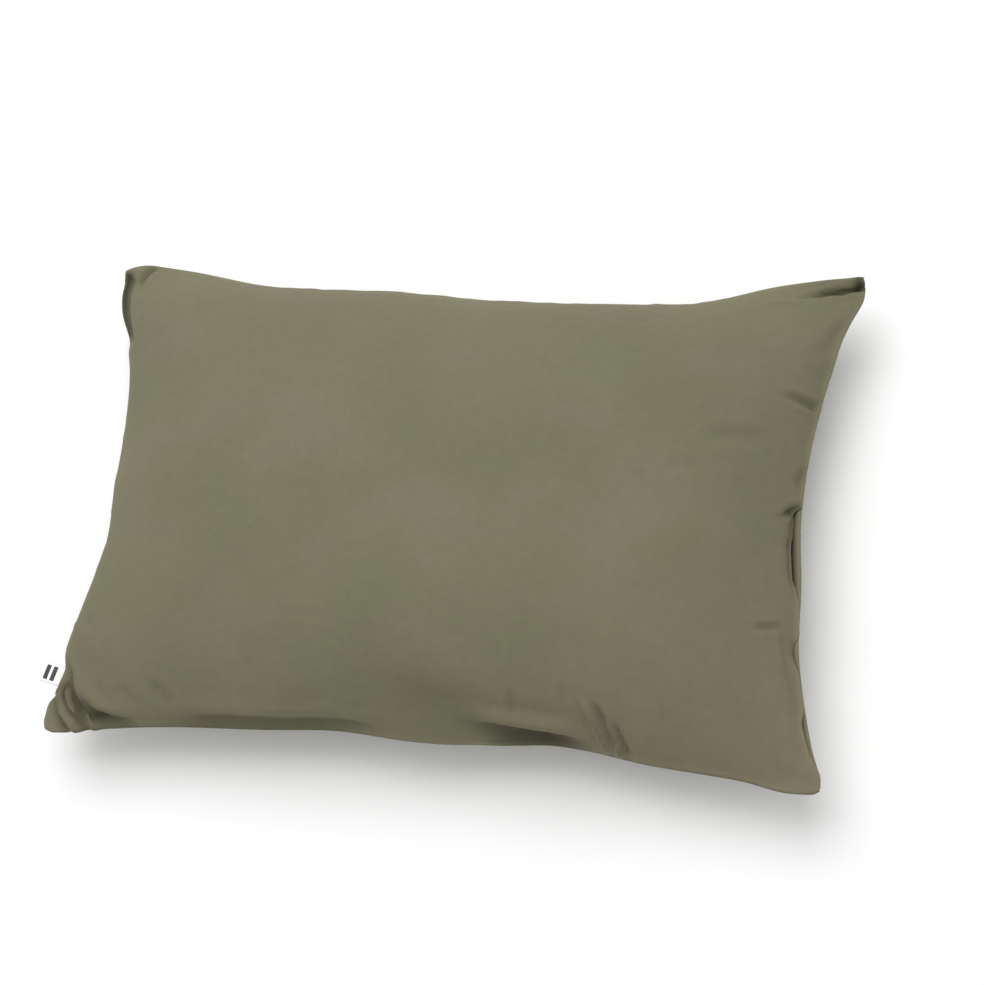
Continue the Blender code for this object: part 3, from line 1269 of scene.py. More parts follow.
@dataclass
class CaseShape:
    """The case's outer surface, front and back."""

    box: CaseBox
    cloth: float = 0.0007
    seam_half: float = 0.0010
    seam_round: float = 0.004
    seam_swell: float = 0.8
    seam_fade: float = 0.005
    # darkest caps the painted shade that one move lays into the cloth's colour.
    darkest: float = 0.9
    fill_clear: float = 0.0016
    fill_reach: int = 3
    front_puckers: tuple[Pucker, ...] = ()
    back_puckers: tuple[Pucker, ...] = ()
    front_moves: Moves = ()
    back_moves: Moves = ()
    ear_moves: Moves = ()
    edge_moves: EdgeMoves = ()

    def make(self) -> None:
        """Settles the case and works its moves."""
        coarse = CutGrid()
        form = PillowForm(self.box, coarse)
        front, back = form.layer(Side.FRONT), form.layer(Side.BACK)
        front, back = ClothSettle().run(coarse, front, back)
        self.grid = CutGrid(cell=coarse.cell / 2)
        front, back = doubled(front), doubled(back)
        plain_front, plain_back = front.copy(), back.copy()
        for move in self.ear_moves:
            lift = normals_of(front, Side.FRONT) * move.lift(self.grid.along, self.grid.across)[..., None]
            front, back = front + lift, back + lift
        self._move(front, Side.FRONT, self.front_moves, self.front_puckers)
        self._move(back, Side.BACK, self.back_moves, self.back_puckers)
        for move in self.edge_moves:
            move.work(self.grid, front, back)
        self._part(front, back)
        for move in self.edge_moves:
            if isinstance(move, LipGap):
                move.turn_up(self.grid, back)
        back[..., 2] = np.maximum(back[..., 2], 0.0)
        self.front, self.back = front, back
        self.inner_front = self._under(plain_front, front, Side.FRONT)
        self.inner_back = self._under(plain_back, back, Side.BACK)

    def shades(self, side: Side) -> Array:
        """Finds how far painted shade darkens a layer's colour in its folds.

        Args:
            side: Which layer.

        Returns:
            How far painted shade darkens each place, from 0 to 1.
        """
        moves = (self.front_moves + self.ear_moves) if side is Side.FRONT else self.back_moves
        light = np.ones(self.grid.u.shape)
        for move in moves:
            light *= 1 - np.clip(move.painted_darkness(self.grid.along, self.grid.across), 0, self.darkest)
        return 1 - light

    def _move(self, points: Array, side: Side, moves: Moves, puckers: tuple[Pucker, ...]) -> None:
        """Works creases, puffs and puckers into one layer.

        Args:
            points: The layer, changed in place.
            side: Which layer it is.
            moves: Its creases and puffs.
            puckers: Its puckers.
        """
        lift = np.zeros(self.grid.u.shape)
        for move in moves:
            lift += move.lift(self.grid.along, self.grid.across)
        for pucker in puckers:
            lift += pucker.lift(self.grid)
        lift *= smoothstep(self.grid.from_edge() / self.seam_fade)
        points += normals_of(points, side) * lift[..., None]

    def _under(self, plain: Array, worked: Array, side: Side) -> Array:
        """Makes a smooth layer that stays inside a worked one's deepest folds.

        Args:
            plain: The layer before its moves.
            worked: The layer after them.
            side: Which layer it is.

        Returns:
            The layer that the fill can reach.
        """
        normal = normals_of(plain, side)
        dip = np.minimum(((worked - plain) * normal).sum(-1), 0)
        for axis in (0, 1):
            for _ in range(self.fill_reach):
                dip = np.minimum(dip, np.minimum(np.roll(dip, 1, axis), np.roll(dip, -1, axis)))
        return plain + normal * (dip - self.fill_clear)[..., None]

    def _part(self, front: Array, back: Array) -> None:
        """Keeps the two layers a cloth's width apart, and rounds the seam between them.

        Args:
            front: The front layer, changed in place.
            back: The back layer, changed in place.
        """
        turn = np.clip(self.grid.from_edge() / self.seam_round, 0, 1)
        least = self.seam_half * (1 + self.seam_swell * np.sqrt(1 - (1 - turn) ** 2))
        middle = (front[..., 2] + back[..., 2]) / 2
        front[..., 2] = np.maximum(front[..., 2], middle + least)
        back[..., 2] = np.minimum(back[..., 2], middle - least)


# ---------------------------------------------------------------- sewing


class StitchRow:
    """A row of stitches along a line, laid by geometry nodes.

    Each stitch is one bead of thread, drawn out along the line. Its length differs a little from the next.
    """

    SOCKETS: dict[str, str] = {
        "Pitch": "NodeSocketFloat",
        "Length": "NodeSocketFloat",
        "Thread": "NodeSocketFloat",
        "Seed": "NodeSocketInt",
        "Finish": "NodeSocketMaterial",
    }
    LENGTHS: tuple[float, float] = (0.9, 1.08)
    COVER: float = 0.82
    BEAD: dict[str, float] = {"Segments": 6, "Rings": 5, "Radius": 0.5}

    def __init__(self) -> None:
        """Builds the node tree once, for every row."""
        self.tree = bpy.data.node_groups.new("stitch_row", "GeometryNodeTree")
        face = self.tree.interface
        face.new_socket("Line", in_out="INPUT", socket_type="NodeSocketGeometry")
        self.names = {}
        for name, kind in self.SOCKETS.items():
            self.names[name] = face.new_socket(name, in_out="INPUT", socket_type=kind).identifier
        face.new_socket("Stitches", in_out="OUTPUT", socket_type="NodeSocketGeometry")
        given = self.tree.nodes.new("NodeGroupInput").outputs
        points = self._points(given["Line"], given["Pitch"])
        size = self._size(given["Thread"], given["Length"], given["Seed"])
        turn = self.tree.nodes.new("FunctionNodeAlignRotationToVector")
        turn.axis = "Z"
        self.tree.links.new(self._node("InputTangent").outputs[0], turn.inputs["Vector"])
        bead = self._node("MeshUVSphere", **self.BEAD).outputs["Mesh"]
        lean = turn.outputs[0]
        laid = self._node("InstanceOnPoints", Points=points, Instance=bead, Rotation=lean, Scale=size)
        real = self._node("RealizeInstances", Geometry=laid.outputs[0])
        smooth = self._node("SetShadeSmooth", Geometry=real.outputs[0])
        dressed = self._node("SetMaterial", Geometry=smooth.outputs[0], Material=given["Finish"])
        out = self.tree.nodes.new("NodeGroupOutput")
        self.tree.links.new(dressed.outputs[0], out.inputs[0])

    def _points(self, line: bpy.types.NodeSocket, pitch: bpy.types.NodeSocket) -> bpy.types.NodeSocket:
        """Sets points at even steps on the line.

        Args:
            line: The line's mesh.
            pitch: The distance from stitch to stitch.

        Returns:
            The points.
        """
        curve = self._node("MeshToCurve", Mesh=line)
        points = self._node("ResampleCurve", Curve=curve.outputs[0])
        points.mode = "LENGTH"
        self.tree.links.new(pitch, points.inputs["Length"])
        return points.outputs[0]

    def _size(
        self, thread: bpy.types.NodeSocket, length: bpy.types.NodeSocket, seed: bpy.types.NodeSocket
    ) -> bpy.types.NodeSocket:
        """Sizes each stitch.

        Args:
            thread: The thread's thickness.
            length: The usual length of a stitch.
            seed: Fixes the small differences.

        Returns:
            Thickness, thickness and length.
        """
        pick = self.tree.nodes.new("FunctionNodeRandomValue")
        pick.data_type = "FLOAT"
        ends = [socket for socket in pick.inputs if socket.type == "VALUE" and socket.enabled]
        for socket, value in zip(ends, self.LENGTHS):
            socket.default_value = value
        self.tree.links.new(seed, pick.inputs["Seed"])
        long = self.tree.nodes.new("ShaderNodeMath")
        long.operation = "MULTIPLY"
        self.tree.links.new(length, long.inputs[0])
        self.tree.links.new(next(socket for socket in pick.outputs if socket.enabled), long.inputs[1])
        size = self.tree.nodes.new("ShaderNodeCombineXYZ")
        for source, axis in ((thread, "X"), (thread, "Y"), (long.outputs[0], "Z")):
            self.tree.links.new(source, size.inputs[axis])
        return size.outputs[0]

    def _node(self, kind: str, **inputs: object) -> bpy.types.Node:
        """Adds a geometry node and feeds its inputs.

        Args:
            kind: The node's type name, without its GeometryNode start.
            **inputs: Values or output sockets, keyed by input name.

        Returns:
            The new node.
        """
        node = self.tree.nodes.new("GeometryNode" + kind)
        for name, value in inputs.items():
            if isinstance(value, bpy.types.NodeSocket):
                self.tree.links.new(value, node.inputs[name])
            else:
                node.inputs[name].default_value = value
        return node

    def lay(
        self,
        name: str,
        lines: list[Array],
        thread: float,
        finish: bpy.types.Material,
        pitch: float = 0.0032,
        seed: int = 1,
    ) -> bpy.types.Object:
        """Sews stitches along lines.

        Args:
            name: The piece's name.
            lines: The lines, each one row of points.
            thread: The thread's thickness.
            finish: The thread's material.
            pitch: Distance from stitch to stitch.
            seed: Fixes the small differences between stitches.

        Returns:
            The stitches as one plain mesh.
        """
        mesh = bpy.data.meshes.new(name + "_line")
        points, edges = [], []
        for line in lines:
            start = len(points)
            points += line.tolist()
            edges += [(start + i, start + i + 1) for i in range(len(line) - 1)]
        mesh.from_pydata(points, edges, [])
        guide = linked(name + "_line", mesh)
        modifier = guide.modifiers.new("stitches", "NODES")
        modifier.node_group = self.tree
        length = pitch * self.COVER
        given = {"Pitch": pitch, "Length": length, "Thread": thread, "Seed": seed, "Finish": finish}
        for socket, value in given.items():
            modifier[self.names[socket]] = value
        shape = guide.evaluated_get(bpy.context.evaluated_depsgraph_get())
        made = bpy.data.meshes.new_from_object(shape)
        made.name = name
        guide.modifiers.remove(modifier)
        bpy.data.objects.remove(guide, do_unlink=True)
        return linked(name, made)


# ---------------------------------------------------------------- sub-assemblies


@dataclass
class EnvelopeCase:
    """The washed cotton case: two panels, the tuck flap and the sewing.

    Spans, places, the fold's end and fade, and tack_half are shares of half the case's width. thread_proud
    is a share of the thread's thickness, and seam_inside one of a grid cell. Other sizes are in metres.
    """

    shape: CaseShape
    rows: StitchRow
    flap_depth: float = 0.130
    flap_span: float = 0.90
    flap_cloth: float = 0.0005
    flap_clear: float = 0.0006
    flap_grid: tuple[int, int] = (53, 105)
    flap_root: tuple[float, float, float] = (0.0024, 0.0, 0.0020)
    flap_root_reach: float = 0.005
    flap_hem_back: int = 4
    hem: float = 0.018
    hem_points: int = 161
    fold_radius: float = 0.0012
    fold_steps: int = 5
    fold_end: float = 0.97
    fold_fade: float = 0.06
    fold_creep: float = 1e-5
    thread: float = 0.0006
    thread_proud: float = 0.25
    seam_thread: float = 0.0007
    seam_inside: float = 0.10
    tack_place: float = 0.955
    tack_half: float = 0.025
    tack_rows: int = 5
    tack_points: int = 12
    tack_first: float = 0.0012
    tack_step: float = 0.0007
    tack_pitch: float = 0.0011

    def build(self) -> None:
        """Builds every piece of the case."""
        self.khaki = KHAKI.material()
        self.sewing = KHAKI_THREAD.material()
        self._panels()
        self._flap()
        self._seams()
        self._hems()
        self._bar_tacks()

    def _panels(self) -> None:
        """The front panel, rolled over at the open end, and the back panel with its hem."""
        grid = self.shape.grid
        flat = grid.flat()[..., :2]
        front = self.shape.front
        out = normals_of(front, Side.FRONT)[:, -1]
        way = front[:, -1] - front[:, -2]
        way /= np.linalg.norm(way, axis=1, keepdims=True)
        free = smoothstep((self.fold_end - np.abs(grid.v[:, -1])) / self.fold_fade)[:, None]
        rolled, flats = [front], [flat]
        for step in range(1, self.fold_steps + 1):
            angle = math.pi * step / self.fold_steps
            turn = way * math.sin(angle) - out * (1 - math.cos(angle))
            roll = turn * self.fold_radius * free + way * self.fold_creep * step
            rolled.append((front[:, -1] + roll)[:, None])
            flats.append((flat[:, -1] + [self.fold_radius * angle, 0])[:, None])
        points, uv = np.concatenate(rolled, 1), np.concatenate(flats, 1)
        panel = new_layer("case_front_cloth", points, Side.FRONT, uv)
        # Painted shade: each panel stores how far its colour is darkened in its folds; the rolled fold's
        # columns take the edge's.
        paint_shade_in_folds(panel, np.pad(self.shape.shades(Side.FRONT), ((0, 0), (0, self.fold_steps)), mode="edge"))
        self._sheet(panel, "case_front_panel")
        panel = new_layer("case_back_cloth", self.shape.back, Side.BACK, flat)
        paint_shade_in_folds(panel, self.shape.shades(Side.BACK))
        self._sheet(panel, "case_back_panel")

    def _sheet(self, panel: bpy.types.Object, node: str) -> None:
        """Finishes one of the two panels.

        Args:
            panel: The panel.
            node: The node that it replaces.
        """
        solidified(panel, self.shape.cloth)
        panel.data.materials.append(self.khaki)
        place_piece(panel, node)

    def _flap(self) -> None:
        """The tuck flap, which turns in from the front's fold and lies inside the back."""
        grid = self.shape.grid
        half = grid.length / 2
        columns, rows = self.flap_grid
        inward = np.linspace(0, self.flap_depth, columns)
        u, v = np.meshgrid(1 - inward / half, np.linspace(-self.flap_span, self.flap_span, rows))
        back = sampled(self.shape.back, u, v)
        inside = self.flap_clear + self.shape.cloth + self.flap_cloth
        points = back - sampled(normals_of(self.shape.back, Side.BACK), u, v) * inside
        fold = sampled(self.shape.front, np.ones_like(u), v) - self.flap_root
        near = bell(inward / self.flap_root_reach)[None, :, None]
        points = points * (1 - near) + fold * near
        uv = np.stack([half + inward[None, :] + 0 * v, grid.width / 2 * v], -1)
        flap = new_layer("tuck_flap_cloth", points, Side.BACK, uv)
        solidified(flap, self.flap_cloth)
        flap.data.materials.append(self.khaki)
        place_piece(flap, "case_tuck_flap")
        sewn = (slice(2, -2), -self.flap_hem_back)
        self.flap_hem_line = points[sewn] + normals_of(points, Side.FRONT)[sewn] * self.thread / 2

    def _edge_line(self, edge: Edge) -> Array:
        """Finds the line between the two panels along a sewn edge.

        Args:
            edge: The edge.

        Returns:
            The line, one row for each point.
        """
        middle = (self.shape.front + self.shape.back) / 2
        line = {Edge.CLOSED: middle[:, 0], Edge.UPPER: middle[-1], Edge.LOWER: middle[0]}[edge]
        inner = {Edge.CLOSED: middle[:, 1], Edge.UPPER: middle[-2], Edge.LOWER: middle[1]}[edge]
        return line + (inner - line) * self.seam_inside

    def _seams(self) -> None:
        """The stitches that close three edges."""
        nodes = {
            Edge.CLOSED: "closed_end_seam_thread",
            Edge.UPPER: "upper_seam_thread",
            Edge.LOWER: "lower_seam_thread",
        }
        for number, (edge, node) in enumerate(nodes.items()):
            name = edge.value + "_seam_stitches"
            row = self.rows.lay(name, [self._edge_line(edge)], self.seam_thread, self.sewing, seed=number)
            place_piece(row, node)

    def _hems(self) -> None:
        """The stitches of the back's hem and the flap's."""
        back = self.shape.back
        place = np.full(self.hem_points, 1 - self.hem / (self.shape.grid.length / 2))
        v = np.linspace(-self.flap_span, self.flap_span, self.hem_points)
        out = sampled(normals_of(back, Side.BACK), place, v)
        line = sampled(back, place, v) + out * self.thread * self.thread_proud
        hems = (("back_hem", line, 5), ("flap_hem", self.flap_hem_line, 6))
        for name, sewn, seed in hems:
            row = self.rows.lay(name + "_stitches", [sewn], self.thread, self.sewing, seed=seed)
            place_piece(row, name + "_thread")

    def _bar_tacks(self) -> None:
        """The close stitches that end the opening."""
        middle = (self.shape.front + self.shape.back) / 2
        spread = np.linspace(-self.tack_half, self.tack_half, self.tack_points)
        for name, v in (("upper", self.tack_place), ("lower", -self.tack_place)):
            lines = []
            for step in range(self.tack_rows):
                u = 1 - (self.tack_first + self.tack_step * step) / (self.shape.grid.length / 2)
                lines.append(sampled(middle, np.full(self.tack_points, u), v + spread))
            row = self.rows.lay(
                name + "_tack_stitches", lines, self.seam_thread, self.sewing, pitch=self.tack_pitch, seed=7
            )
            place_piece(row, name + "_bar_tack")


@dataclass
class Insert:
    """The ticking bag and its fibre, inside the case.

    Each layer rises from its rim by rim_round times the root of rim_fall and the distance from the rim, until
    it meets the case. fill_inside says how far the fibre stays inside the rim and under the ticking.
    """

    shape: CaseShape
    rows: StitchRow
    ticking: float = 0.0005
    slack: float = 0.014
    corner: float = 0.050
    clear: float = 0.0020
    rim_half: float = 0.0009
    rim_round: float = 0.9
    rim_fall: float = 0.05
    flat_size: tuple[float, float] = (0.588, 0.388)
    thread: float = 0.0005
    thread_proud: float = 0.3
    seam_pitch: float = 0.0036
    closing_pitch: float = 0.0045
    closing_place: float = 0.965
    closing_half: float = 0.37
    closing_points: int = 60
    fill_inside: tuple[float, float] = (0.004, 0.0022)

    def build(self) -> None:
        """Builds every piece of the insert."""
        cloth, sewing = TICKING.material(), TICKING_THREAD.material()
        front, back, uv = self._layers(self.slack, self.clear)
        for face, points, side in (("front", front, Side.FRONT), ("back", back, Side.BACK)):
            piece = new_layer(f"insert_{face}_cloth", points, side, uv)
            solidified(piece, self.ticking)
            piece.data.materials.append(cloth)
            place_piece(piece, f"insert_{face}_ticking")
        self.front = front
        self._fill()
        middle = (front + back) / 2
        rim = [middle[0], middle[-1], middle[:, 0], middle[:, -1]]
        row = self.rows.lay("insert_seam_stitches", rim, self.thread, sewing, pitch=self.seam_pitch, seed=8)
        place_piece(row, "insert_seam_thread")
        u = np.full(self.closing_points, self.closing_place)
        v = np.linspace(-self.closing_half, self.closing_half, self.closing_points)
        out = sampled(normals_of(front, Side.FRONT), u, v)
        line = sampled(front, u, v) + out * self.thread * self.thread_proud
        row = self.rows.lay(
            "insert_closing_stitches", [line], self.thread, sewing, pitch=self.closing_pitch, seed=9
        )
        place_piece(row, "insert_closing_thread")

    def _layers(self, slack: float, clear: float) -> tuple[Array, Array, Array]:
        """Front and back layers held inside the case.

        Args:
            slack: How far inside the case's rim the layers end.
            clear: How far under the case's surface they stay.

        Returns:
            The front layer, the back layer and their places on the flat cut.
        """
        grid = CutGrid()
        u, v = grid.u, grid.v
        half_x, half_y = grid.length / 2, grid.width / 2
        x, y = u * (half_x - slack), v * (half_y - slack)
        a = np.clip(np.abs(x) - (half_x - slack - self.corner), 0, None) / self.corner
        b = np.clip(np.abs(y) - (half_y - slack - self.corner), 0, None) / self.corner
        drawn = (1 - corner_keep(a, b)) * self.corner
        x = x - np.sign(x) * a * drawn
        y = y - np.sign(y) * b * drawn
        top = sampled(self.shape.inner_front, x / half_x, y / half_y)
        bottom = sampled(self.shape.inner_back, x / half_x, y / half_y)
        middle, reach = (top + bottom) / 2, (top - bottom) / 2
        half = np.linalg.norm(reach, axis=-1)
        inside = np.maximum(half - clear, self.rim_half)
        rim = self.rim_half + self.rim_round * np.sqrt(np.maximum(grid.from_edge(), 0) * self.rim_fall)
        share = (np.minimum(inside, rim) / np.maximum(half, TINY))[..., None]
        uv = np.stack([x, y], -1)
        return middle + reach * share, middle - reach * share, uv

    def _fill(self) -> None:
        """The fibre: one closed body inside the ticking."""
        slack, clear = self.fill_inside
        front, back, _ = self._layers(self.slack + slack, self.clear + clear)
        index = grid_index(front)
        lower = index + index.size
        faces = [grid_quads(index, Side.FRONT), grid_quads(lower, Side.BACK)]
        ring = np.concatenate([index[0, :-1], index[:-1, -1], index[-1, :0:-1], index[:0:-1, 0]])
        after = np.roll(ring, -1)
        faces.append(np.stack([ring, ring + index.size, after + index.size, after], 1))
        points = np.concatenate([front.reshape(-1, 3), back.reshape(-1, 3)])
        body = new_piece("fibre_body", points, np.concatenate(faces))
        body.data.materials.append(FIBRE.material())
        place_piece(body, "fibre_fill")


@dataclass
class FoldedLabel:
    """A short woven tape, folded once, with its two ends in a seam.

    It reaches out of the seam from its root. Its bars are shares of that reach, across bar_half of its width
    to each side.
    """

    root: Vector
    out: Vector
    side: Vector
    reach: float = 0.018
    width: float = 0.016
    layer: float = 0.00035
    gap: float = 0.0002
    curl: float = 0.0006
    runs: int = 25
    turns: int = 9
    columns: int = 15
    bars: tuple[tuple[float, float], ...] = ((0.34, 0.56), (0.66, 0.88))
    bar_half: float = 0.33

    def build(self, tape: bpy.types.Material, dark: bpy.types.Material) -> bpy.types.Object:
        """Builds the label.

        Args:
            tape: The tape's material.
            dark: The material of its woven bars.

        Returns:
            The finished piece.
        """
        up = self.out.cross(self.side).normalized()
        section = self._section()
        across = np.linspace(-0.5, 0.5, self.columns)
        points, uv, travel = [], [], 0.0
        before = section[0]
        for far, high in section:
            travel += math.hypot(far - before[0], high - before[1])
            before = (far, high)
            for c in across:
                curl = self.curl * (2 * c) ** 2 * (far / self.reach)
                points.append(self.root + self.out * far + self.side * (c * self.width) + up * (high + curl))
                uv.append((c * self.width, travel))
        shape = (len(section), len(across), -1)
        piece = new_layer("side_label_tape", np.reshape(points, shape), Side.BACK, np.reshape(uv, shape))
        piece.data.materials.append(tape)
        piece.data.materials.append(dark)
        for face in piece.data.polygons:
            middle = sum((points[i] for i in face.vertices), Vector()) / 4 - self.root
            far, off = middle.dot(self.out) / self.reach, abs(middle.dot(self.side)) / self.width
            if off < self.bar_half and any(low < far < high for low, high in self.bars):
                face.material_index = 1
        solidified(piece, self.layer).modifiers[THICKNESS].offset = 0.0
        place_piece(piece, "side_label", Body.LABEL)
        return piece

    def _section(self) -> list[tuple[float, float]]:
        """Draws the tape as it is seen from its side.

        Returns:
            Points out along the upper layer, round the fold, and back along the lower one.
        """
        half = (self.layer + self.gap) / 2
        runs = np.linspace(0, 1, self.runs)
        section = [(self.reach * r, half) for r in runs[:-1]]
        for angle in np.radians(np.linspace(90, -90, self.turns)):
            section.append((self.reach + half * math.cos(angle), half * math.sin(angle)))
        return section + [(self.reach * r, -half) for r in runs[-2::-1]]


@dataclass
class CareLabel:
    """A care label that lies flat under a cloth, with its end in that cloth's seam."""

    name: str
    node: str
    place: tuple[float, float]
    depth: float
    width: float = 0.030
    length: float = 0.040
    thickness: float = 0.0003
    grid: tuple[int, int] = (9, 17)

    def build(self, case: CutGrid, layer: Array, tape: bpy.types.Material) -> bpy.types.Object:
        """Builds the label.

        Args:
            case: The case's grid.
            layer: The front of the cloth that the label lies under.
            tape: The tape's material.

        Returns:
            The finished piece.
        """
        columns, rows = self.grid
        c, r = np.meshgrid(np.linspace(-0.5, 0.5, columns), np.linspace(0, 1, rows))
        half_x, half_y = case.length / 2, case.width / 2
        u, v = self.place
        if abs(u) < abs(v):
            at_u, at_v = u + c * self.width / half_x, v - np.sign(v) * r * self.length / half_y
        else:
            at_u, at_v = u - np.sign(u) * r * self.length / half_x, v + c * self.width / half_y
        normal = sampled(normals_of(layer, Side.FRONT), at_u, at_v)
        points = sampled(layer, at_u, at_v) - normal * self.depth
        piece = new_layer(self.name, points, Side.FRONT, np.stack([c * self.width, r * self.length], -1))
        piece.data.materials.append(tape)
        solidified(piece, self.thickness)
        place_piece(piece, self.node)
        return piece


@dataclass
class Labels:
    """The side label in the seam, and the care labels inside."""

    shape: CaseShape
    insert: Insert
    case_care: CareLabel = field(
        default_factory=lambda: CareLabel("case_care_tape", "case_care_label", (0.10, -0.93), 0.0013)
    )
    insert_care: CareLabel = field(
        default_factory=lambda: CareLabel("insert_care_tape", "insert_care_label", (-0.93, 0.10), -0.0004)
    )

    def build(self) -> None:
        """Builds the three labels."""
        tape, dark = TAPE.material(), TAPE_BARS.material()
        joint = next(j for j in frame["joints"] if j["child"] == Body.LABEL.value)
        axis = Vector(joint["axis"]).normalized()
        out = Vector((-axis.y, axis.x, 0.0)).normalized()
        FoldedLabel(Vector(joint["pos_m"]), out, axis).build(tape, dark)
        self.case_care.build(self.shape.grid, self.shape.front, tape)
        self.insert_care.build(self.shape.grid, self.insert.front, tape)


# ---------------------------------------------------------------- the studio


@dataclass
class Studio:
    """Pale floor, soft light and the camera."""

    target: Vector
    lens: float = 70.0
    place: tuple[float, float, float] = (0.401, -0.416, 1.334)
    turn: tuple[float, float, float] = (18.98, 12.97, 7.46)
    floor_half: float = 6.0
    floor_shade: float = 0.93
    floor_roughness: float = 0.9
    sky: float = 0.72
    window_size: float = 1.8
    window_power: float = 30.0
    window_place: tuple[float, float, float] = (-0.25, 0.75, 1.95)

    def build(self) -> None:
        """Makes the floor, lights and camera."""
        scene = bpy.context.scene
        camera = bpy.data.objects.new("camera", bpy.data.cameras.new("camera"))
        camera.data.lens = self.lens
        camera.location = self.target + Vector(self.place)
        camera.rotation_euler = Euler([math.radians(a) for a in self.turn])
        scene.collection.objects.link(camera)
        scene.camera = camera
        world = bpy.data.worlds.new("studio")
        world.use_nodes = True
        sky = world.node_tree.nodes["Background"]
        sky.inputs[0].default_value = (1, 1, 1, 1)
        sky.inputs[1].default_value = self.sky
        scene.world = world
        lamp = bpy.data.lights.new("window", "AREA")
        lamp.size = self.window_size
        lamp.energy = self.window_power
        window = bpy.data.objects.new("window", lamp)
        window.location = self.target + Vector(self.window_place)
        window.rotation_euler = (-Vector(self.window_place)).to_track_quat("-Z", "Y").to_euler()
        scene.collection.objects.link(window)
        self._floor()
        scene.view_settings.view_transform = "Standard"

    def _floor(self) -> None:
        """A plain pale floor under the pillow."""
        corners = np.array([[-1, -1, 0], [1, -1, 0], [1, 1, 0], [-1, 1, 0]]) * self.floor_half
        floor = new_piece("floor", corners, [[0, 1, 2, 3]])
        g = Graph.new("pale_floor")
        g.set(Base_Color=(*[self.floor_shade] * 3, 1), Roughness=self.floor_roughness)
        floor.data.materials.append(g.material)
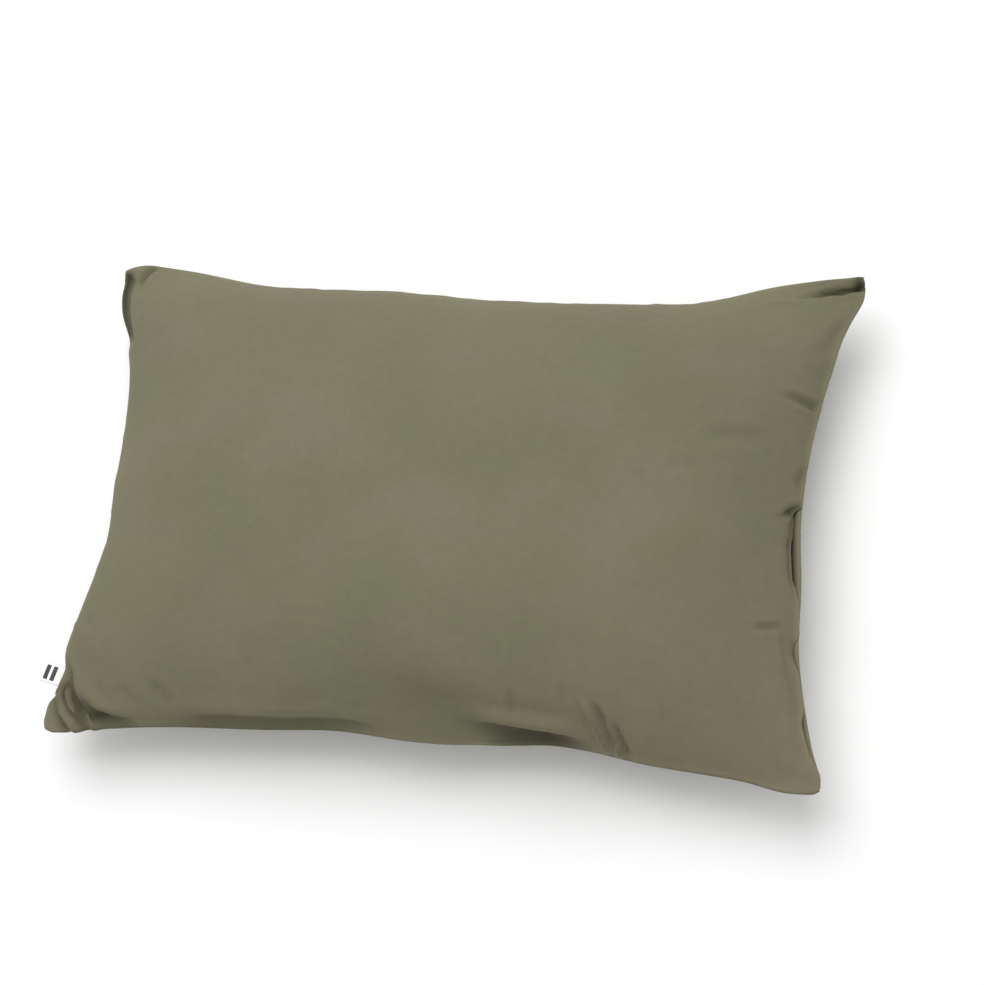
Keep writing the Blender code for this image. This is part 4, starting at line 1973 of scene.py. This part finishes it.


# ---------------------------------------------------------------- the moves, on the flat cut


FROM_SEAM = (0.1, 0.5)
FRONT_MOVES: Moves = (
    # The gathered ear at the closed end's lower corner, and the band along the lower seam in painted shade;
    # the creases of depth 0 move nothing and are painted shade only
    Crease((-0.302, -0.142), (-0.215, -0.201), 0.0065, 0.0050, bow=-0.016, fade=(0.15, 0.3), shade=0.15),
    Crease((-0.262, -0.187), (-0.215, -0.199), 0.0022, 0.0034, fade=(0.3, 0.4), shade=0.16),
    Crease((-0.266, -0.1985), (-0.206, -0.2010), 0.0, 0.0034, fade=(0.3, 0.4), shade=0.30),
    Crease((-0.205, -0.1945), (-0.010, -0.1955), 0.0040, 0.0042, fade=(0.25, 0.2), shade=0.16),
    Crease((-0.232, -0.1995), (-0.020, -0.2000), 0.0, 0.0045, fade=(0.35, 0.3), shade=0.36),
    Puff((-0.252, -0.146), (0.018, 0.024), 0.0034),
    Crease((-0.207, -0.166), (-0.188, -0.190), 0.0024, 0.0045),
    Crease((-0.234, -0.170), (-0.216, -0.188), 0.0018, 0.0035),
    Crease((-0.302, -0.106), (-0.262, -0.130), 0.0022, 0.0045, fade=(0.2, 0.5)),
    # The ear that is folded under at the closed end's upper corner; the second, nearly flat crease is painted
    # shade, a dark crescent beside the fold
    Crease((-0.2905, 0.200), (-0.2930, 0.118), 0.0050, 0.0036, bow=0.002, fade=(0.15, 0.2)),
    Crease((-0.2955, 0.201), (-0.2990, 0.124), 0.0006, 0.0050, bow=0.001, fade=(0.10, 0.2), shade=0.80),
    Crease((-0.268, 0.200), (-0.285, 0.177), 0.0026, 0.0035, fade=(0.1, 0.5), shade=0.35),
    # The pointed ear at the open end's upper corner, and the pulls below it; the flat puff and flat crease
    # are painted shade at the ear's tip and along its upper strip
    Crease((0.308, 0.1905), (0.250, 0.1795), 0.0042, 0.0024, bow=-0.0025, fade=(0.03, 0.45), shade=0.25),
    Puff((0.2960, 0.1935), (0.004, 0.005), 0.0, shade=0.80),
    Crease((0.304, 0.1975), (0.240, 0.1935), 0.0, 0.0045, fade=(0.1, 0.5), shade=0.14),
    Crease((0.302, 0.1960), (0.262, 0.1870), 0.0022, 0.0030, Relief.RIDGE, fade=(0.1, 0.4)),
    Crease((0.266, 0.1760), (0.228, 0.1780), 0.0015, 0.0030, Relief.RIDGE),
    Crease((0.258, 0.0945), (0.312, 0.0900), 0.0036, 0.0032, fade=(0.5, 0.1), shade=0.08),
    Crease((0.208, 0.0480), (0.270, 0.0560), 0.0018, 0.0060),
    Crease((0.182, 0.0210), (0.216, 0.0230), 0.0012, 0.0050),
    Crease((0.286, 0.128), (0.302, 0.162), 0.0010, 0.0060),
    # The open end's edge, with painted shade in its creases
    Crease((0.279, -0.004), (0.306, 0.017), 0.0034, 0.0025, fade=(0.4, 0.1), shade=0.14),
    Crease((0.2915, 0.024), (0.3000, 0.048), 0.0010, 0.0030, shade=0.20),
    Crease((0.258, -0.0915), (0.290, -0.0840), 0.0020, 0.0024, shade=0.10),
    Crease((0.2850, -0.078), (0.2955, -0.150), 0.0022, 0.0034, bow=0.001, fade=(0.3, 0.3)),
    Puff((0.278, -0.165), (0.012, 0.010), 0.0016),
    # Pleats and pulls along the lower seam; the hollow under the bulge is darkened with painted shade, and
    # its crease of depth 0 is painted shade only
    Crease((0.030, -0.1865), (0.148, -0.2005), 0.0072, 0.0050, fade=(0.32, 0.42), shade=0.34),
    Crease((0.046, -0.1985), (0.146, -0.2010), 0.0, 0.0055, fade=(0.32, 0.42), shade=0.48),
    Crease((0.052, -0.1780), (0.140, -0.1925), 0.0022, 0.0050, Relief.RIDGE, fade=(0.4, 0.5)),
    Puff((0.024, -0.172), (0.042, 0.017), -0.0042, -8.0, shade=0.14),
    Crease((0.132, -0.160), (0.151, -0.200), 0.0040, 0.0030, Relief.RIDGE, fade=(0.3, 0.2)),
    Crease((0.140, -0.162), (0.157, -0.198), 0.0022, 0.0026, shade=0.10),
    Crease((0.148, -0.174), (0.160, -0.202), 0.0036, 0.0028, Relief.RIDGE, fade=(0.3, 0.1)),
    Crease((0.154, -0.176), (0.165, -0.201), 0.0020, 0.0026, fade=(0.3, 0.2), shade=0.10),
    Crease((0.080, -0.156), (0.081, -0.184), 0.0016, 0.0024),
    Crease((0.068, -0.121), (0.068, -0.136), 0.0010, 0.0020, Relief.RIDGE),
    Crease((0.080, -0.121), (0.080, -0.136), 0.0012, 0.0020, Relief.RIDGE),
    Crease((0.015, -0.092), (0.018, -0.112), 0.0011, 0.0020, Relief.RIDGE),
    Crease((0.115, -0.145), (0.116, -0.165), 0.0014, 0.0022, Relief.RIDGE),
    Crease((0.192, -0.150), (0.193, -0.177), 0.0014, 0.0022),
)
BACK_MOVES: Moves = (
    # The gathers behind the closed end's two ears
    Crease((-0.300, -0.150), (-0.230, -0.200), 0.0040, 0.0050, bow=-0.012, fade=(0.2, 0.2)),
    Crease((-0.292, -0.172), (-0.262, -0.199), 0.0026, 0.0026),
    Crease((-0.300, 0.140), (-0.236, 0.196), 0.0034, 0.0055, bow=0.010),
    # Pulls that start at a seam and die out in the panel
    Crease((0.300, 0.120), (0.225, 0.100), 0.0028, 0.0045, fade=FROM_SEAM),
    Crease((0.300, -0.126), (0.210, -0.096), 0.0030, 0.0050, fade=FROM_SEAM),
    Crease((0.298, 0.020), (0.216, 0.014), 0.0022, 0.0050, fade=FROM_SEAM),
    Crease((-0.298, 0.030), (-0.240, 0.026), 0.0022, 0.0055, fade=FROM_SEAM),
    Crease((-0.100, 0.200), (-0.088, 0.140), 0.0022, 0.0045, fade=FROM_SEAM),
    Crease((0.090, 0.200), (0.074, 0.150), 0.0024, 0.0040, fade=FROM_SEAM),
    Crease((0.170, 0.200), (0.150, 0.156), 0.0020, 0.0040, fade=FROM_SEAM),
    Crease((-0.150, -0.200), (-0.136, -0.146), 0.0024, 0.0045, fade=FROM_SEAM),
    Crease((0.050, -0.200), (0.056, -0.150), 0.0020, 0.0040, fade=FROM_SEAM),
    Crease((0.180, -0.200), (0.168, -0.152), 0.0022, 0.0040, fade=FROM_SEAM),
)
EAR_MOVES: Moves = (
    # Folds through both layers: the lower ear of the closed end, then the two ears of the open end. The lower
    # ear's grooves are darkened with painted shade
    Crease((-0.306, -0.160), (-0.274, -0.206), 0.0024, 0.0034, fade=(0.2, 0.1), shade=0.34),
    Crease((-0.302, -0.156), (-0.264, -0.204), 0.0020, 0.0036, Relief.RIDGE, fade=(0.3, 0.1)),
    Crease((-0.294, -0.160), (-0.256, -0.206), 0.0034, 0.0034, fade=(0.3, 0.1), shade=0.45),
    Crease((-0.286, -0.164), (-0.250, -0.204), 0.0018, 0.0038, Relief.RIDGE, fade=(0.3, 0.4)),
    Crease((-0.276, -0.170), (-0.240, -0.203), 0.0014, 0.0038, fade=(0.3, 0.5), shade=0.35),
    Crease((0.308, 0.1915), (0.262, 0.1810), 0.0026, 0.0030, bow=-0.0025, fade=(0.05, 0.45)),
    Crease((0.304, 0.1985), (0.270, 0.1880), 0.0018, 0.0034, Relief.RIDGE, fade=(0.1, 0.4)),
    Crease((0.300, -0.186), (0.262, -0.172), 0.0014, 0.0060, Relief.RIDGE, fade=(0.2, 0.5)),
)
EDGE_MOVES: EdgeMoves = (
    # The lower seam at the hollow, the folded upper ear, and the parted lips of the open end
    SeamTuck(Edge.LOWER, 0.020, 0.130, 0.0020, reach=0.008, drop=0.004, fade=0.035),
    SeamTuck(Edge.CLOSED, 0.115, 0.200, 0.0000, drop=0.009, reach=0.008),
    LipGap(-0.188, 0.188, 0.0006, 0.0008, fade=(0.03, 0.03), ripple=0.8),
    LipGap(-0.078, 0.014, 0.0066, 0.0000, reach=0.0085, fade=(0.040, 0.008), ripple=0.25, rise=0.0050),
    LipGap(-0.120, -0.086, 0.0038, 0.0000, reach=0.0075, fade=(0.018, 0.010), rise=0.0024),
    LipGap(-0.186, -0.134, 0.0036, 0.0042, reach=0.008, fade=(0.016, 0.016), ripple=0.3, rise=0.0010),
)
FRONT_PUCKERS: tuple[Pucker, ...] = (
    Pucker(0.0010, 0.0095, 0.011, 20),
    Pucker(0.0012, 0.0240, 0.030, 40, middle=0.014),
    Pucker(0.0010, 0.0085, 0.006, 120, edges=(Edge.OPEN,), middle=0.005),
)
BACK_PUCKERS: tuple[Pucker, ...] = (
    Pucker(0.0020, 0.0100, 0.013, 60),
    Pucker(0.0046, 0.0260, 0.036, 80, middle=0.016),
    Pucker(0.0010, 0.0090, 0.007, 100, edges=(Edge.OPEN,), middle=0.020),
)


def main() -> None:
    """Builds the pillow's looks and its studio."""
    logging.basicConfig(level=logging.INFO, format="%(message)s")
    box = CaseBox.from_frame()
    shape = CaseShape(
        box,
        front_puckers=FRONT_PUCKERS,
        back_puckers=BACK_PUCKERS,
        front_moves=FRONT_MOVES,
        back_moves=BACK_MOVES,
        ear_moves=EAR_MOVES,
        edge_moves=EDGE_MOVES,
    )
    shape.make()
    rows = StitchRow()
    EnvelopeCase(shape, rows).build()
    insert = Insert(shape, rows)
    insert.build()
    Labels(shape, insert).build()
    Studio(Vector((box.middle_x, 0.0, box.seam))).build()


if __name__ == "__main__":
    main()
